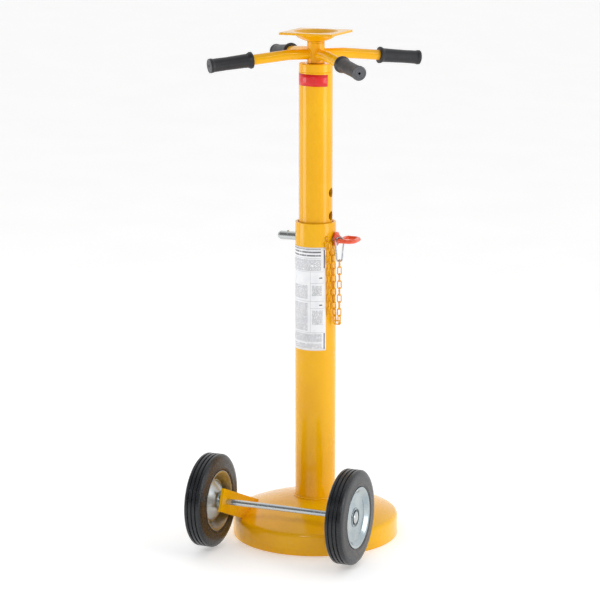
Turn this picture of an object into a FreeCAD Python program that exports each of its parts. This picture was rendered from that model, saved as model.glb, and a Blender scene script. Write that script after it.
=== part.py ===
"""Spin-top trailer stabilizing jack stand, built as an assembly of separate pieces.

Frame: the origin is the middle of the foot's underside. +Z is up the column, +X runs along the wheel
axle and the locking pin towards the pin's handle, and -Y is the side the two wheels are on.
"""
import FreeCAD, Part
import math
import os
import Sketcher

doc = FreeCAD.newDocument("stabilizing_stand")
nodes = []

# Driving dimensions: alias, value in millimetres or degrees, and what it measures.
SIZES = [
    ("base_radius", 183.0, "foot, radius of its skirt"),
    ("skirt_height", 47.0, "foot, height of the skirt's corner before rounding"),
    ("dome_top", 85.6, "foot, height of the crown at the column"),
    ("crown_radius", 560.0, "foot, radius of the crown's arc"),
    ("shoulder_round", 11.0, "foot, rounding between skirt and crown"),
    ("crown_land", 1.0, "foot, flat land of the crown outside the column's weld"),
    ("dome_wall", 5.0, "foot, sheet thickness"),
    ("floor_plate", 6.0, "foot, thickness of the plate that closes it"),
    ("weld_leg", 5.0, "leg of the fillet weld round the column"),
    ("weld_gap", 0.1, "gap between pieces that are welded or pressed together"),
    ("film_gap", 0.02, "gap behind a film stuck on a column"),
    ("outer_radius", 44.45, "lower column, outside radius"),
    ("outer_wall", 5.49, "lower column, wall"),
    ("outer_top", 704.0, "lower column, height of its rim"),
    ("inner_radius", 36.51, "upper column, outside radius"),
    ("inner_wall", 5.16, "upper column, wall"),
    ("inner_bottom", 470.0, "upper column, height of its lower end"),
    ("inner_top", 1029.6, "upper column, height of its upper end"),
    ("rim_chamfer", 0.8, "chamfer on the columns' ends"),
    ("drill_reach", 10.0, "how far a cross drill stands out of what it drills"),
    ("pin_hole_radius", 10.3, "pin holes through both columns"),
    ("pin_hole_height", 668.0, "height of the pin hole in the lower column"),
    ("hole_pitch", 50.8, "spacing of the upper column's pin holes"),
    ("pin_radius", 9.525, "locking pin, radius"),
    ("pin_play", 0.05, "running clearance of the locking pin where it bears"),
    ("pin_tip", 87.0, "locking pin, reach of its tip beyond the column's axis"),
    ("pin_tip_chamfer", 3.0, "locking pin, chamfer at the tip"),
    ("pin_tip_slope", 1.6, "locking pin, length of the tip's chamfer over its depth"),
    ("pin_socket", 3.0, "locking pin, depth of its end in the handle"),
    ("ball_radius", 3.0, "pin detent, ball radius"),
    ("ball_rise", 2.4, "pin detent, how far the ball stands out of the pin"),
    ("ball_reach", 65.0, "pin detent, distance from the column's axis"),
    ("ball_well", 13.0, "pin detent, depth of the ball's well"),
    ("well_clear", 5.0, "pin detent, how far the well's drill stands out of the pin"),
    ("spring_wire", 0.35, "pin detent, radius of the spring's wire"),
    ("spring_inset", 1.0, "pin detent, ball radius less the spring's coil radius"),
    ("spring_foot", 0.1, "pin detent, gap under the spring"),
    ("spring_nest", 0.35, "pin detent, how far the ball sinks into the spring's top coil"),
    ("spring_turns", 5.0, "pin detent, turns of the spring"),
    ("flange_radius", 16.0, "pin handle, radius of its collar"),
    ("flange_gap", 2.0, "pin handle, gap between collar and column"),
    ("flange_thick", 5.0, "pin handle, thickness of the collar"),
    ("neck_length", 11.0, "pin handle, collar to the middle of the loop's near bar"),
    ("loop_bar", 4.5, "pin handle, radius of the loop's bar"),
    ("loop_reach", 38.5, "pin handle, near bar to outermost point of the loop"),
    ("loop_half_width", 25.5, "pin handle, half width of the loop"),
    ("loop_taper", 0.9, "pin handle, width of the loop's far bar over that of its near bar"),
    ("loop_near_round", 6.5, "pin handle, bend of the loop beside the neck"),
    ("loop_far_round", 15.0, "pin handle, bend of the loop at its far corners"),
    ("collar_round", 1.8, "pin handle, rounding of the collar"),
    ("neck_step", 0.2, "pin handle, how far the neck's end lies inside the loop's bar"),
    ("hook_wire", 2.0, "spring hook, radius of its wire"),
    ("hook_top_half", 9.8, "spring hook, half width at the top"),
    ("hook_low_half", 5.0, "spring hook, half width at the bottom"),
    ("hook_length", 52.0, "spring hook, height between its wire's middle lines"),
    ("hook_offset", 16.0, "spring hook, distance in front of the pin's axis"),
    ("hook_turn", 22.0, "spring hook, turn of its plane from the pin's axis"),
    ("hook_clear", 0.3, "spring hook, gap between its wire and the handle's loop"),
    ("hook_bend", 0.92, "spring hook, radius of its bends over its half width"),
    ("gate_top", 0.24, "spring hook, upper end of the gate as a share of its side"),
    ("gate_foot", 0.80, "spring hook, lower end of the gate as a share of its side"),
    ("gate_gap", 0.35, "spring hook, gap at each end of the gate"),
    ("gate_wire", 0.85, "spring hook, radius of the gate over that of the wire"),
    ("rivet_radius", 0.8, "spring hook, radius of the gate's rivet"),
    ("rivet_play", 0.05, "spring hook, clearance of the gate on its rivet"),
    ("rivet_reach", 2.6, "spring hook, half length of the rivet"),
    ("rivet_head", 1.5, "spring hook, radius of the rivet's heads"),
    ("rivet_head_thick", 0.7, "spring hook, thickness of the rivet's heads"),
    ("link_wire", 1.25, "chain, radius of the wire"),
    ("link_inner", 15.6, "chain, inside length of a link"),
    ("link_slack", 0.2, "chain, least slack between two links"),
    ("chain_off", 5.6, "chain, distance of the links' middle line from the column"),
    ("chain_low", 485.5, "chain, height of the link it doubles back on"),
    ("link_half_width", 4.25, "chain, half width of a link to the wire's middle"),
    ("link_nest", 0.6, "chain, how far the next links sit inside the bend of the link at the fold"),
    ("anchor_turn", -35.0, "chain eye, direction round the column"),
    ("anchor_height", 671.0, "chain eye, height"),
    ("anchor_wire", 1.6, "chain eye, radius of its wire"),
    ("anchor_half", 4.6, "chain eye, half height"),
    ("anchor_reach", 9.0, "chain eye, how far it stands off the column"),
    ("anchor_root", 3.0, "chain eye, length of wire trimmed off at the column"),
    ("anchor_bend", 0.9, "chain eye, radius of its bends over its half height"),
    ("label_low", 424.0, "instruction label, height of its lower edge"),
    ("label_high", 652.5, "instruction label, height of its upper edge"),
    ("label_start", -184.0, "instruction label, direction of its left edge"),
    ("label_sweep", 146.5, "instruction label, angle it wraps"),
    ("label_thick", 0.2, "instruction label, thickness"),
    ("tape_low", 1000.6, "reflective tape, height of its lower edge"),
    ("tape_width", 25.4, "reflective tape, width"),
    ("tape_start", -244.0, "reflective tape, direction of its left end"),
    ("tape_sweep", 220.0, "reflective tape, angle it wraps"),
    ("nut_head", 17.9, "lift nut, height of its head"),
    ("nut_length", 40.0, "lift nut, length inside the column"),
    ("nut_round", 2.0, "lift nut, rounding of its head"),
    ("nut_seat_round", 0.8, "lift nut, rounding beside the column's end"),
    ("nut_ease", 1.0, "lift nut, chamfers of its lower end"),
    ("nut_mouth", 1.5, "lift nut, lead-in at its upper end"),
    ("screw_radius", 15.875, "lift screw, outside radius"),
    ("thread_pitch", 6.35, "lift screw, pitch of its thread"),
    ("thread_depth", 3.2, "lift screw, depth of its thread"),
    ("thread_crest", 0.37, "lift screw, width of a thread's crest over the pitch"),
    ("thread_flank", 0.13, "lift screw, width of a thread's flank over the pitch"),
    ("thread_play", 0.08, "lift screw, clearance in the nut"),
    ("screw_ease", 1.0, "lift screw, plain length at its lower end"),
    ("screw_relief", 2.0, "lift screw, plain length under the hub and below the bolt"),
    ("screw_travel", 152.4, "lift screw, how far it can be raised"),
    ("hub_radius", 19.05, "spinner hub, outside radius"),
    ("hub_gap", 0.5, "gap between spinner hub and lift nut"),
    ("hub_height", 43.4, "spinner hub, height"),
    ("hub_round", 1.0, "spinner hub, rounding of its ends"),
    ("spoke_radius", 11.1, "spoke tube, outside radius"),
    ("spoke_wall", 2.0, "spoke tube, wall"),
    ("spoke_height", 1067.0, "spoke tube, height of its root"),
    ("spoke_knee", 63.0, "spoke tube, distance of its bend from the axis"),
    ("spoke_droop", 5.4, "spoke tube, how far it bends down"),
    ("spoke_bend", 140.0, "spoke tube, radius of its bend"),
    ("spoke_turn", 43.85, "spoke tube, direction of the first spoke"),
    ("grip_reach", 242.5, "grip, distance of its end from the axis"),
    ("grip_length", 97.0, "grip, length"),
    ("grip_radius", 14.3, "grip, radius of its body"),
    ("grip_flange", 17.9, "grip, radius of its inner flange"),
    ("grip_flange_thick", 4.5, "grip, thickness of its inner flange"),
    ("grip_waist", 11.0, "grip, start of its body behind the flange"),
    ("grip_swell", 420.0, "grip, radius of the body's lengthwise curve"),
    ("grip_waist_round", 5.0, "grip, rounding between flange and body"),
    ("grip_round", 1.6, "grip, rounding of its flange and end"),
    ("grip_end", 15.7, "grip, radius of its end"),
    ("grip_end_length", 5.0, "grip, length of its end"),
    ("grip_end_flare", 4.0, "grip, length of the flare from body to end"),
    ("grip_floor", 5.0, "grip, thickness of its end wall"),
    ("grip_vent", 2.8, "grip, radius of the hole in its end"),
    ("washer_thick", 3.0, "thrust washer, thickness"),
    ("washer_ease", 0.6, "thrust washer, chamfer"),
    ("swivel_play", 0.3, "gap above and below the swivelling plate"),
    ("plate_half", 61.0, "top plate, half of its side"),
    ("plate_thick", 4.8, "top plate, thickness"),
    ("plate_corner", 2.5, "top plate, corner rounding"),
    ("plate_top", 1115.5, "top plate, height of its upper face"),
    ("dish_radius", 48.0, "top plate, radius of the dish's mouth"),
    ("dish_floor_radius", 20.5, "top plate, radius of the dish's floor"),
    ("dish_wall", 4.0, "top plate, wall of the dish"),
    ("dish_curve", 1.1, "top plate, radius of the dish's curve over that of its mouth"),
    ("dish_lap", 0.2, "top plate, how far the dish's rim runs into the plate"),
    ("dish_lip_width", 3.4, "top plate, width of the dish's rounded lip"),
    ("dish_lip_depth", 2.6, "top plate, depth of the dish's rounded lip"),
    ("dish_floor_step", 2.0, "top plate, radius of the dish's floor less that of its inside"),
    ("bolt_radius", 8.0, "swivel bolt, radius of its shoulder"),
    ("bolt_play", 0.08, "swivel bolt, running clearance"),
    ("bolt_thread", 6.0, "swivel bolt, radius of its threaded end"),
    ("bolt_length", 32.0, "swivel bolt, length of its threaded end"),
    ("bolt_head_flats", 24.0, "swivel bolt, head across flats"),
    ("bolt_head", 7.5, "swivel bolt, height of its head"),
    ("bolt_head_blank", 0.62, "swivel bolt, radius of the head's blank over its flats"),
    ("bolt_head_face", 0.47, "swivel bolt, radius of the head's flat face over its flats"),
    ("bolt_head_slope", 2.4, "swivel bolt, depth of the head's chamfer"),
    ("bolt_ease", 1.0, "swivel bolt, chamfer at its tip"),
    ("bolt_washer_radius", 15.5, "swivel bolt washer, radius"),
    ("bolt_washer", 2.5, "swivel bolt washer, thickness"),
    ("axle_radius", 6.35, "axle, radius"),
    ("axle_clear", 20.0, "axle, distance in front of the foot's skirt"),
    ("axle_height", 110.5, "axle, height"),
    ("axle_half", 176.0, "axle, half of its length"),
    ("axle_play", 0.06, "axle, running clearance in the bearings"),
    ("axle_ease", 1.0, "axle, chamfer at its ends"),
    ("bracket_face", 123.0, "wheel bracket, distance of its inner face from the middle"),
    ("bracket_thick", 6.35, "wheel bracket, thickness"),
    ("bracket_width", 50.8, "wheel bracket, width of the bar"),
    ("bracket_rise", 22.5, "wheel bracket, slope"),
    ("bracket_end", 27.5, "wheel bracket, axle to the bar's free end"),
    ("bracket_length", 225.0, "wheel bracket, length of the bar before it is fitted"),
    ("wheel_centre", 162.0, "wheel, distance of its middle from the column's axis"),
    ("tyre_radius", 101.6, "tyre, radius"),
    ("tyre_half", 20.9, "tyre, half of its width"),
    ("tyre_gap", 0.15, "tyre, gap to the rim's disc"),
    ("bead_rise", 1.4, "tyre, bead radius beyond the rim's lip"),
    ("bead_inset", 1.7, "tyre, bead's edge inside the rim's lip"),
    ("seat_drop", 2.4, "tyre, seat radius below the rim's lip"),
    ("seat_inset", 2.8, "tyre, seat inside the rim's lip"),
    ("root_rise", 2.6, "tyre, its inmost radius beyond the rim's disc"),
    ("wall_foot", 3.0, "tyre, side wall's start beyond the bead"),
    ("wall_drop", 12.0, "tyre, height of its shoulder below the tread"),
    ("shoulder_drop", 3.4, "tyre, drop of the shoulder's corner below the tread"),
    ("shoulder_inset", 2.2, "tyre, shoulder's corner inside the side wall"),
    ("shoulder_width", 5.4, "tyre, tread's edge inside the side wall"),
    ("wall_curve", 60.0, "tyre, radius of the shoulder's outer curve"),
    ("tread_curve", 5.0, "tyre, radius of the curve from shoulder to tread"),
    ("groove_ease", 0.7, "tyre, slope of a groove's sides"),
    ("groove_depth", 3.2, "tyre, depth of the tread grooves"),
    ("groove_half", 1.5, "tyre, half width of a tread groove"),
    ("groove_pitch", 8.8, "tyre, spacing of the tread grooves"),
    ("lip_radius", 64.8, "rim, radius of its lip"),
    ("lip_reach", 20.3, "rim, lip to the middle of the wheel"),
    ("face_step", 10.8, "outer rim half, from its lip in to its flat face"),
    ("face_reach", 12.6, "outer rim half, its flat face to the middle of the wheel"),
    ("disc_step", 17.8, "inner rim half, from its lip in to the start of its cone"),
    ("disc_reach", 6.2, "inner rim half, foot of its cone to the middle of the wheel"),
    ("cone_radius", 23.0, "inner rim half, radius of its cone at the top"),
    ("cone_reach", 23.0, "inner rim half, top of its cone to the middle of the wheel"),
    ("rim_sheet", 1.6, "rim, sheet thickness"),
    ("rim_bend", 3.0, "rim, bend between disc and flared wall"),
    ("flare_back", 3.0, "rim, back of the flared wall, radius below the lip's"),
    ("flare_front", 4.2, "rim, front of the flared wall, radius below the lip's"),
    ("lip_edge", 0.9, "rim, rolled edge's radius beyond the lip's"),
    ("lip_crest", 0.4, "rim, crest of the rolled edge, radius below the lip's"),
    ("hub_tube_radius", 21.3, "wheel hub tube, radius"),
    ("hub_tube_wall", 2.0, "wheel hub tube, wall"),
    ("hub_tube_out", 14.0, "wheel hub tube, outer end to the middle of the wheel"),
    ("hub_tube_in", 28.5, "wheel hub tube, inner end to the middle of the wheel"),
    ("bearing_width", 11.0, "wheel bearing, width"),
    ("bearing_inset", 2.4, "wheel bearing, depth of the outer one inside the hub tube"),
    ("bearing_inner_inset", 0.6, "wheel bearing, depth of the inner one inside the hub tube"),
    ("seal_depth", 0.9, "wheel bearing, depth of the seal below its rings"),
    ("inner_ring", 4.0, "wheel bearing, thickness of its inner ring"),
    ("outer_ring", 3.2, "wheel bearing, thickness of its outer ring"),
    ("cap_radius", 12.8, "axle cap, radius"),
    ("cap_crown", 3.6, "axle cap, rise of its domed face"),
    ("cap_edge", 1.6, "axle cap, height of its upright edge"),
    ("cap_grip", 1.4, "axle cap, depth of the axle's end in it"),
    ("axle_washer_radius", 12.5, "axle washer, radius"),
    ("axle_washer", 2.0, "axle washer, thickness"),
]
HOLES_ABOVE_PIN = 2
HOLES_BELOW_PIN = 3
SPOKES = 4
LINKS_EASED = 4
LINK_LEAN = 45.0
EDGE_MATCH = 1e-3

# Ways of the two chain runs round the lower column: degrees from the chain eye, distance beyond the
# links' usual one, and height.
DOWN_ROUTE = ((15.0, 0.0, 640.0), (19.0, 0.0, 580.0), (20.0, 0.0, 530.0))
TAIL_ROUTE = ((1.0, 0.0, 630.0), (3.0, 0.0, 570.0), (5.0, 0.0, 503.0))
DOWN_START, TAIL_START, START_OFF = 6.0, -3.0, 2.0
FOLD_TURN = 20.0
UP_MIDDLE = 560.0
UP_ASIDE, UP_BEHIND, UP_BITE = 0.6, 0.4, 1.9


class Dim:
    """A size that carries its value and the sheet expression that gives it."""

    def __init__(self, value, text):
        self.value = float(value)
        self.text = text

    def joined(self, other, sign, value):
        return Dim(value, "(" + self.text + " " + sign + " " + as_dim(other).text + ")")

    def __add__(self, other):
        return self.joined(other, "+", self.value + as_dim(other).value)

    def __sub__(self, other):
        return self.joined(other, "-", self.value - as_dim(other).value)

    def __mul__(self, other):
        return self.joined(other, "*", self.value * as_dim(other).value)

    def __truediv__(self, other):
        return self.joined(other, "/", self.value / as_dim(other).value)

    def __neg__(self):
        return Dim(-self.value, "(-1 * " + self.text + ")")


def as_dim(size):
    return size if isinstance(size, Dim) else Dim(size, repr(float(size)))


def sin_of(angle):
    return Dim(math.sin(math.radians(angle.value)), "sin(" + angle.text + ")")


def cos_of(angle):
    return Dim(math.cos(math.radians(angle.value)), "cos(" + angle.text + ")")


def make_sheet():
    """Write the driving dimensions to a spreadsheet and return them as named sizes."""
    sheet = doc.addObject("Spreadsheet::Sheet", "Sizes")
    sizes = {}
    for row, (alias, value, meaning) in enumerate(SIZES, start=1):
        sheet.set("A%d" % row, alias)
        sheet.set("B%d" % row, "%s" % value)
        sheet.set("C%d" % row, meaning)
        sheet.setAlias("B%d" % row, alias)
        sizes[alias] = Dim(value, "Sizes." + alias)
    doc.recompute()
    return sizes


S = make_sheet()


# ---- helpers: binding, placing, primitives, turned and padded bodies, bent rods ----

def bind(obj, prop, size):
    obj.setExpression(prop, as_dim(size).text)


def place(obj, x=0.0, y=0.0, z=0.0, turn=None):
    """Put an object at x, y, z, with an optional (axis, angle) turn about its own origin."""
    if turn:
        axis, angle = turn
        obj.Placement = FreeCAD.Placement(FreeCAD.Vector(), FreeCAD.Rotation(FreeCAD.Vector(*axis), 1.0))
        bind(obj, "Placement.Rotation.Angle", angle)
    for name, size in (("x", x), ("y", y), ("z", z)):
        bind(obj, "Placement.Base." + name, size)
    return obj


ALONG_X = ((0, 1, 0), 90.0)
AGAINST_X = ((0, 1, 0), -90.0)


def keep(obj, label):
    """List a finished piece under its own name."""
    obj.Label = label
    nodes.append(obj)
    return obj


def cylinder(name, radius, height):
    obj = doc.addObject("Part::Cylinder", name)
    bind(obj, "Radius", radius)
    bind(obj, "Height", height)
    return obj


def cut(name, base, *tools):
    tool = tools[0] if len(tools) == 1 else fuse(name + "_tools", *tools)
    obj = doc.addObject("Part::Cut", name)
    obj.Base = base
    obj.Tool = tool
    return obj


def fuse(name, *pieces):
    obj = doc.addObject("Part::MultiFuse", name)
    obj.Shapes = list(pieces)
    return obj


def plane_of(body, role):
    return [item for item in body.Origin.OriginFeatures if item.Role == role][0]


def arc_between(start, end, radius):
    """Arc from start to end; a positive radius bulges to the right of the way along."""
    chord = end - start
    rise = math.sqrt(max(radius * radius - (chord.Length / 2) ** 2, 0.0))
    left = FreeCAD.Vector(-chord.y, chord.x, 0).normalize()
    side = 1.0 if radius > 0 else -1.0
    centre = (start + end) * 0.5 + left * (rise * side)
    first = math.atan2(start.y - centre.y, start.x - centre.x)
    last = math.atan2(end.y - centre.y, end.x - centre.x)
    if side < 0:
        first, last = last, first
    circle = Part.Circle(centre, FreeCAD.Vector(0, 0, 1), abs(radius))
    return Part.ArcOfCircle(circle, first, last)


def draw_outline(sketch, outline):
    """Draw a closed outline whose every corner is held by expressions.

    A corner is (x, y), or (x, y, radius) where an arc of that radius leads to the next corner. The
    corners go counter-clockwise, and a negative radius makes a hollow arc.
    """
    count = len(outline)
    corners = [FreeCAD.Vector(as_dim(corner[0]).value, as_dim(corner[1]).value, 0) for corner in outline]
    ends = []
    for index, corner in enumerate(outline):
        start, end = corners[index], corners[(index + 1) % count]
        if len(corner) == 3:
            radius = as_dim(corner[2])
            sketch.addGeometry(arc_between(start, end, radius.value), False)
            ends.append((1, 2) if radius.value > 0 else (2, 1))
            held = sketch.addConstraint(Sketcher.Constraint("Radius", index, abs(radius.value)))
            sketch.setExpression("Constraints[%d]" % held, "abs(" + radius.text + ")")
        else:
            sketch.addGeometry(Part.LineSegment(start, end), False)
            ends.append((1, 2))
    for index, corner in enumerate(outline):
        after = (index + 1) % count
        sketch.addConstraint(Sketcher.Constraint("Coincident", index, ends[index][1], after, ends[after][0]))
        hold_point(sketch, index, ends[index][0], as_dim(corner[0]), as_dim(corner[1]))


def hold_point(sketch, index, end, x, y):
    """Hold one end of a line at x, y with expressions, or on an axis where the size is nought."""
    for kind, axis, size in (("DistanceX", -2, x), ("DistanceY", -1, y)):
        if size.value == 0.0:
            sketch.addConstraint(Sketcher.Constraint("PointOnObject", index, end, axis))
            continue
        held = sketch.addConstraint(Sketcher.Constraint(kind, -1, 1, index, end, size.value))
        sketch.setExpression("Constraints[%d]" % held, size.text)


def sketched_body(name, role, outline):
    body = doc.addObject("PartDesign::Body", name)
    sketch = body.newObject("Sketcher::SketchObject", name + "_outline")
    sketch.AttachmentSupport = [(plane_of(body, role), "")]
    sketch.MapMode = "FlatFace"
    draw_outline(sketch, outline)
    return body, sketch


def turned(name, outline, rounds=()):
    """A piece turned about Z from an outline of (radius, height) corners.

    rounds lists (radius, height, rounding) of circular edges to be rounded.
    """
    body, sketch = sketched_body(name, "XZ_Plane", outline)
    feature = body.newObject("PartDesign::Revolution", name + "_turned")
    feature.Profile = sketch
    feature.ReferenceAxis = (sketch, ["V_Axis"])
    feature.Angle = 360.0
    for radius, height, rounding in rounds:
        feature = round_ring(body, feature, as_dim(radius), as_dim(height), rounding)
    body.Tip = feature
    return body


def round_ring(body, feature, radius, height, rounding):
    """Round the circular edge that has this radius and height."""
    doc.recompute()
    found = []
    for number, edge in enumerate(feature.Shape.Edges, start=1):
        if not isinstance(edge.Curve, Part.Circle):
            continue
        off = max(abs(edge.Curve.Radius - radius.value), abs(edge.Curve.Center.z - height.value))
        if off < EDGE_MATCH:
            found.append("Edge%d" % number)
    fillet = body.newObject("PartDesign::Fillet", body.Name + "_round")
    fillet.Base = (feature, found)
    bind(fillet, "Radius", rounding)
    return fillet


def padded(name, role, outline, thickness, upright_round=None):
    """A flat piece padded from an outline, with its upright corners rounded if asked."""
    body, sketch = sketched_body(name, role, outline)
    feature = body.newObject("PartDesign::Pad", name + "_pad")
    feature.Profile = sketch
    bind(feature, "Length", thickness)
    if upright_round:
        doc.recompute()
        upright = []
        for number, edge in enumerate(feature.Shape.Edges, start=1):
            low, high = edge.Vertexes[0].Point.z, edge.Vertexes[-1].Point.z
            if abs(high - low) > as_dim(thickness).value * 0.9:
                upright.append("Edge%d" % number)
        fillet = body.newObject("PartDesign::Fillet", name + "_corners")
        fillet.Base = (feature, upright)
        bind(fillet, "Radius", upright_round)
        feature = fillet
    body.Tip = feature
    return body


def ring(name, inside, outside, low, high, chamfer=0.3):
    """A plain ring about Z with small chamfers on its outer edges."""
    return turned(name, [
        (inside, low), (outside - chamfer, low), (outside, low + chamfer),
        (outside, high - chamfer), (outside - chamfer, high), (inside, high)])


def rounded_path(points, bend, closed=False):
    """Straight runs between the points, joined by tangent arcs of the bend radius."""
    count = len(points)
    edges = []
    corners = range(count) if closed else range(1, count - 1)
    cuts = {}
    for index in corners:
        corner = points[index]
        back = (points[index - 1] - corner).normalize()
        ahead = (points[(index + 1) % count] - corner).normalize()
        half = back.getAngle(ahead) / 2
        radius = bend[index] if isinstance(bend, (list, tuple)) else bend
        reach = radius / math.tan(half)
        middle = (back + ahead).normalize()
        centre = corner + middle * (radius / math.sin(half))
        cuts[index] = (corner + back * reach, centre - middle * radius, corner + ahead * reach)
    for index in range(count if closed else count - 1):
        after = (index + 1) % count
        start = cuts[index][2] if index in cuts else points[index]
        end = cuts[after][0] if after in cuts else points[after]
        if (end - start).Length > 1e-6:
            edges.append(Part.LineSegment(start, end).toShape())
        if after in cuts:
            edges.append(Part.Arc(*cuts[after]).toShape())
    return Part.Wire(edges)


def rod_along(path, radius):
    """A round rod swept along a path."""
    first = path.OrderedEdges[0]
    start = first.valueAt(first.FirstParameter)
    way = first.tangentAt(first.FirstParameter)
    if (path.OrderedVertexes[0].Point - start).Length > 1e-6:
        start = first.valueAt(first.LastParameter)
        way = first.tangentAt(first.LastParameter)
    section = Part.Face(Part.Wire(Part.Circle(start, way, radius).toShape()))
    return path.makePipe(section)


def shaped(name, shape):
    """A piece whose shape comes from a sweep, with its sizes read from the sheet."""
    obj = doc.addObject("Part::Feature", name)
    obj.Shape = shape
    return obj


def val(alias):
    return S[alias].value


# ---- foot: floor plate, pressed dome and the weld that holds the column ----

def dome_outline(grow):
    """Outer line of the foot from the floor to the column, moved out by grow."""
    corner = (S["base_radius"] + grow, S["skirt_height"] + grow, S["crown_radius"])
    land = S["outer_radius"] + S["weld_leg"] + S["crown_land"]
    return corner, land


def build_foot():
    bore = S["outer_radius"] + S["weld_gap"]
    corner, land = dome_outline(0.0)
    inner_radius = S["base_radius"] - S["dome_wall"]
    plate = ring("floor_plate", 0.0, inner_radius - S["weld_gap"], 0.0, S["floor_plate"])
    keep(plate, "floor_plate")
    dome = turned("base_dome", [
        (inner_radius, 0.0), (S["base_radius"], 0.0), corner, (land, S["dome_top"]), (bore, S["dome_top"]),
        (bore, S["dome_top"] - S["dome_wall"]), (land, S["dome_top"] - S["dome_wall"], -S["crown_radius"]),
        (inner_radius, S["skirt_height"] - S["dome_wall"])],
        rounds=[(S["base_radius"], S["skirt_height"], S["shoulder_round"])])
    keep(dome, "base_dome")
    start = S["outer_radius"] + S["weld_gap"]
    seat = S["dome_top"] + S["weld_gap"]
    weld = turned("column_weld", [
        (start, seat), (start + S["weld_leg"], seat, S["weld_leg"] * 2.0), (start, seat + S["weld_leg"])])
    keep(weld, "column_weld")


# ---- columns: the lower one stands on the floor plate, the upper one telescopes in it ----

def tube(name, radius, wall, low, high):
    """A round tube about Z, chamfered inside and outside at both ends."""
    ease = S["rim_chamfer"]
    bore = radius - wall
    return turned(name, [
        (bore + ease, low), (radius - ease, low), (radius, low + ease), (radius, high - ease),
        (radius - ease, high), (bore + ease, high), (bore, high - ease), (bore, low + ease)])


def cross_drill(name, radius, height, reach):
    """A drill along X at a height, long enough to pass through both walls."""
    drill = cylinder(name, radius, reach * 2.0)
    return place(drill, x=-reach, z=height, turn=ALONG_X)


PIN_HEIGHT = S["pin_hole_height"] - (S["pin_hole_radius"] - S["pin_radius"] - S["pin_play"])
HANGING_HOLE = PIN_HEIGHT - (S["pin_hole_radius"] - S["pin_radius"] - S["pin_play"])


def build_columns():
    reach = S["outer_radius"] + S["drill_reach"]
    outer = tube("outer_tube", S["outer_radius"], S["outer_wall"], S["floor_plate"] + S["weld_gap"],
                 S["outer_top"])
    drill = cross_drill("outer_drill", S["pin_hole_radius"], S["pin_hole_height"], reach)
    keep(cut("outer_column", outer, drill), "outer_column")
    inner = tube("inner_tube", S["inner_radius"], S["inner_wall"], S["inner_bottom"], S["inner_top"])
    drills = []
    for step in range(-HOLES_BELOW_PIN, HOLES_ABOVE_PIN + 1):
        height = HANGING_HOLE + S["hole_pitch"] * float(step)
        name = "inner_drill_%d" % (step + HOLES_BELOW_PIN)
        drills.append(cross_drill(name, S["pin_hole_radius"], height, reach))
    keep(cut("inner_column", inner, *drills), "inner_column")


def wrapped(name, radius, thickness, low, high, start, sweep):
    """A thin sheet wrapped round a column from a start direction through an angle."""
    outside = cylinder(name + "_outside", radius + thickness, high - low)
    inside = cylinder(name + "_inside", radius, high - low)
    for piece in (outside, inside):
        bind(piece, "Angle", sweep)
        place(piece, z=low, turn=((0, 0, 1), start))
    return keep(cut(name, outside, inside), name)


def build_markings():
    wrapped("instruction_label", S["outer_radius"] + S["film_gap"], S["label_thick"], S["label_low"],
            S["label_high"], S["label_start"], S["label_sweep"])
    wrapped("reflective_tape", S["inner_radius"] + S["film_gap"], S["label_thick"], S["tape_low"],
            S["tape_low"] + S["tape_width"], S["tape_start"], S["tape_sweep"])


# ---- lift: nut in the upper column, screw with the spinner on it, swivelling plate on top ----

NUT_TOP = S["inner_top"] + S["nut_head"]
HUB_LOW = NUT_TOP + S["hub_gap"]
HUB_TOP = HUB_LOW + S["hub_height"]
WASHER_LOW = HUB_TOP + S["swivel_play"]
WASHER_TOP = WASHER_LOW + S["washer_thick"]
DISH_LOW = WASHER_TOP + S["swivel_play"]
DISH_FLOOR = DISH_LOW + S["dish_wall"]
SCREW_LOW = S["inner_top"] - S["nut_length"] - S["screw_travel"]


def build_lift_nut():
    bore = S["screw_radius"] + S["thread_play"]
    spigot = S["inner_radius"] - S["inner_wall"] - S["weld_gap"]
    seat = S["inner_top"] + S["weld_gap"]
    low = S["inner_top"] - S["nut_length"]
    ease, mouth = S["nut_ease"], S["nut_mouth"]
    nut = turned("lift_nut", [
        (bore + ease, low), (spigot - ease, low), (spigot, low + ease), (spigot, seat),
        (S["inner_radius"], seat), (S["inner_radius"], NUT_TOP), (bore + mouth, NUT_TOP),
        (bore, NUT_TOP - mouth), (bore, low + ease)],
        rounds=[(S["inner_radius"], NUT_TOP, S["nut_round"]),
                (S["inner_radius"], seat, S["nut_seat_round"])])
    keep(nut, "lift_nut")


def build_screw():
    """The lift screw: a trapezoidal thread as turned grooves, a plain top in the hub, a bolt hole."""
    radius, depth, pitch = val("screw_radius"), val("thread_depth"), val("thread_pitch")
    low, top = SCREW_LOW.value, HUB_TOP.value
    relief = val("screw_relief")
    hole, floor = val("bolt_thread") + val("weld_gap"), top - val("bolt_length") - relief
    crest, flank = pitch * val("thread_crest"), pitch * val("thread_flank")
    line = [(0.0, low), (radius - depth, low)]
    height = low + val("screw_ease")
    while height + pitch < HUB_LOW.value - relief:
        line += [(radius - depth, height), (radius, height + flank),
                 (radius, height + flank + crest), (radius - depth, height + 2.0 * flank + crest)]
        height += pitch
    line += [(radius - depth, height), (radius, height + flank), (radius, top), (hole, top), (hole, floor),
             (0.0, floor)]
    points = [FreeCAD.Vector(x, 0, z) for x, z in line]
    face = Part.Face(Part.makePolygon(points + points[:1]))
    solid = face.revolve(FreeCAD.Vector(), FreeCAD.Vector(0, 0, 1), 360.0)
    keep(shaped("lift_screw", solid), "lift_screw")


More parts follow.
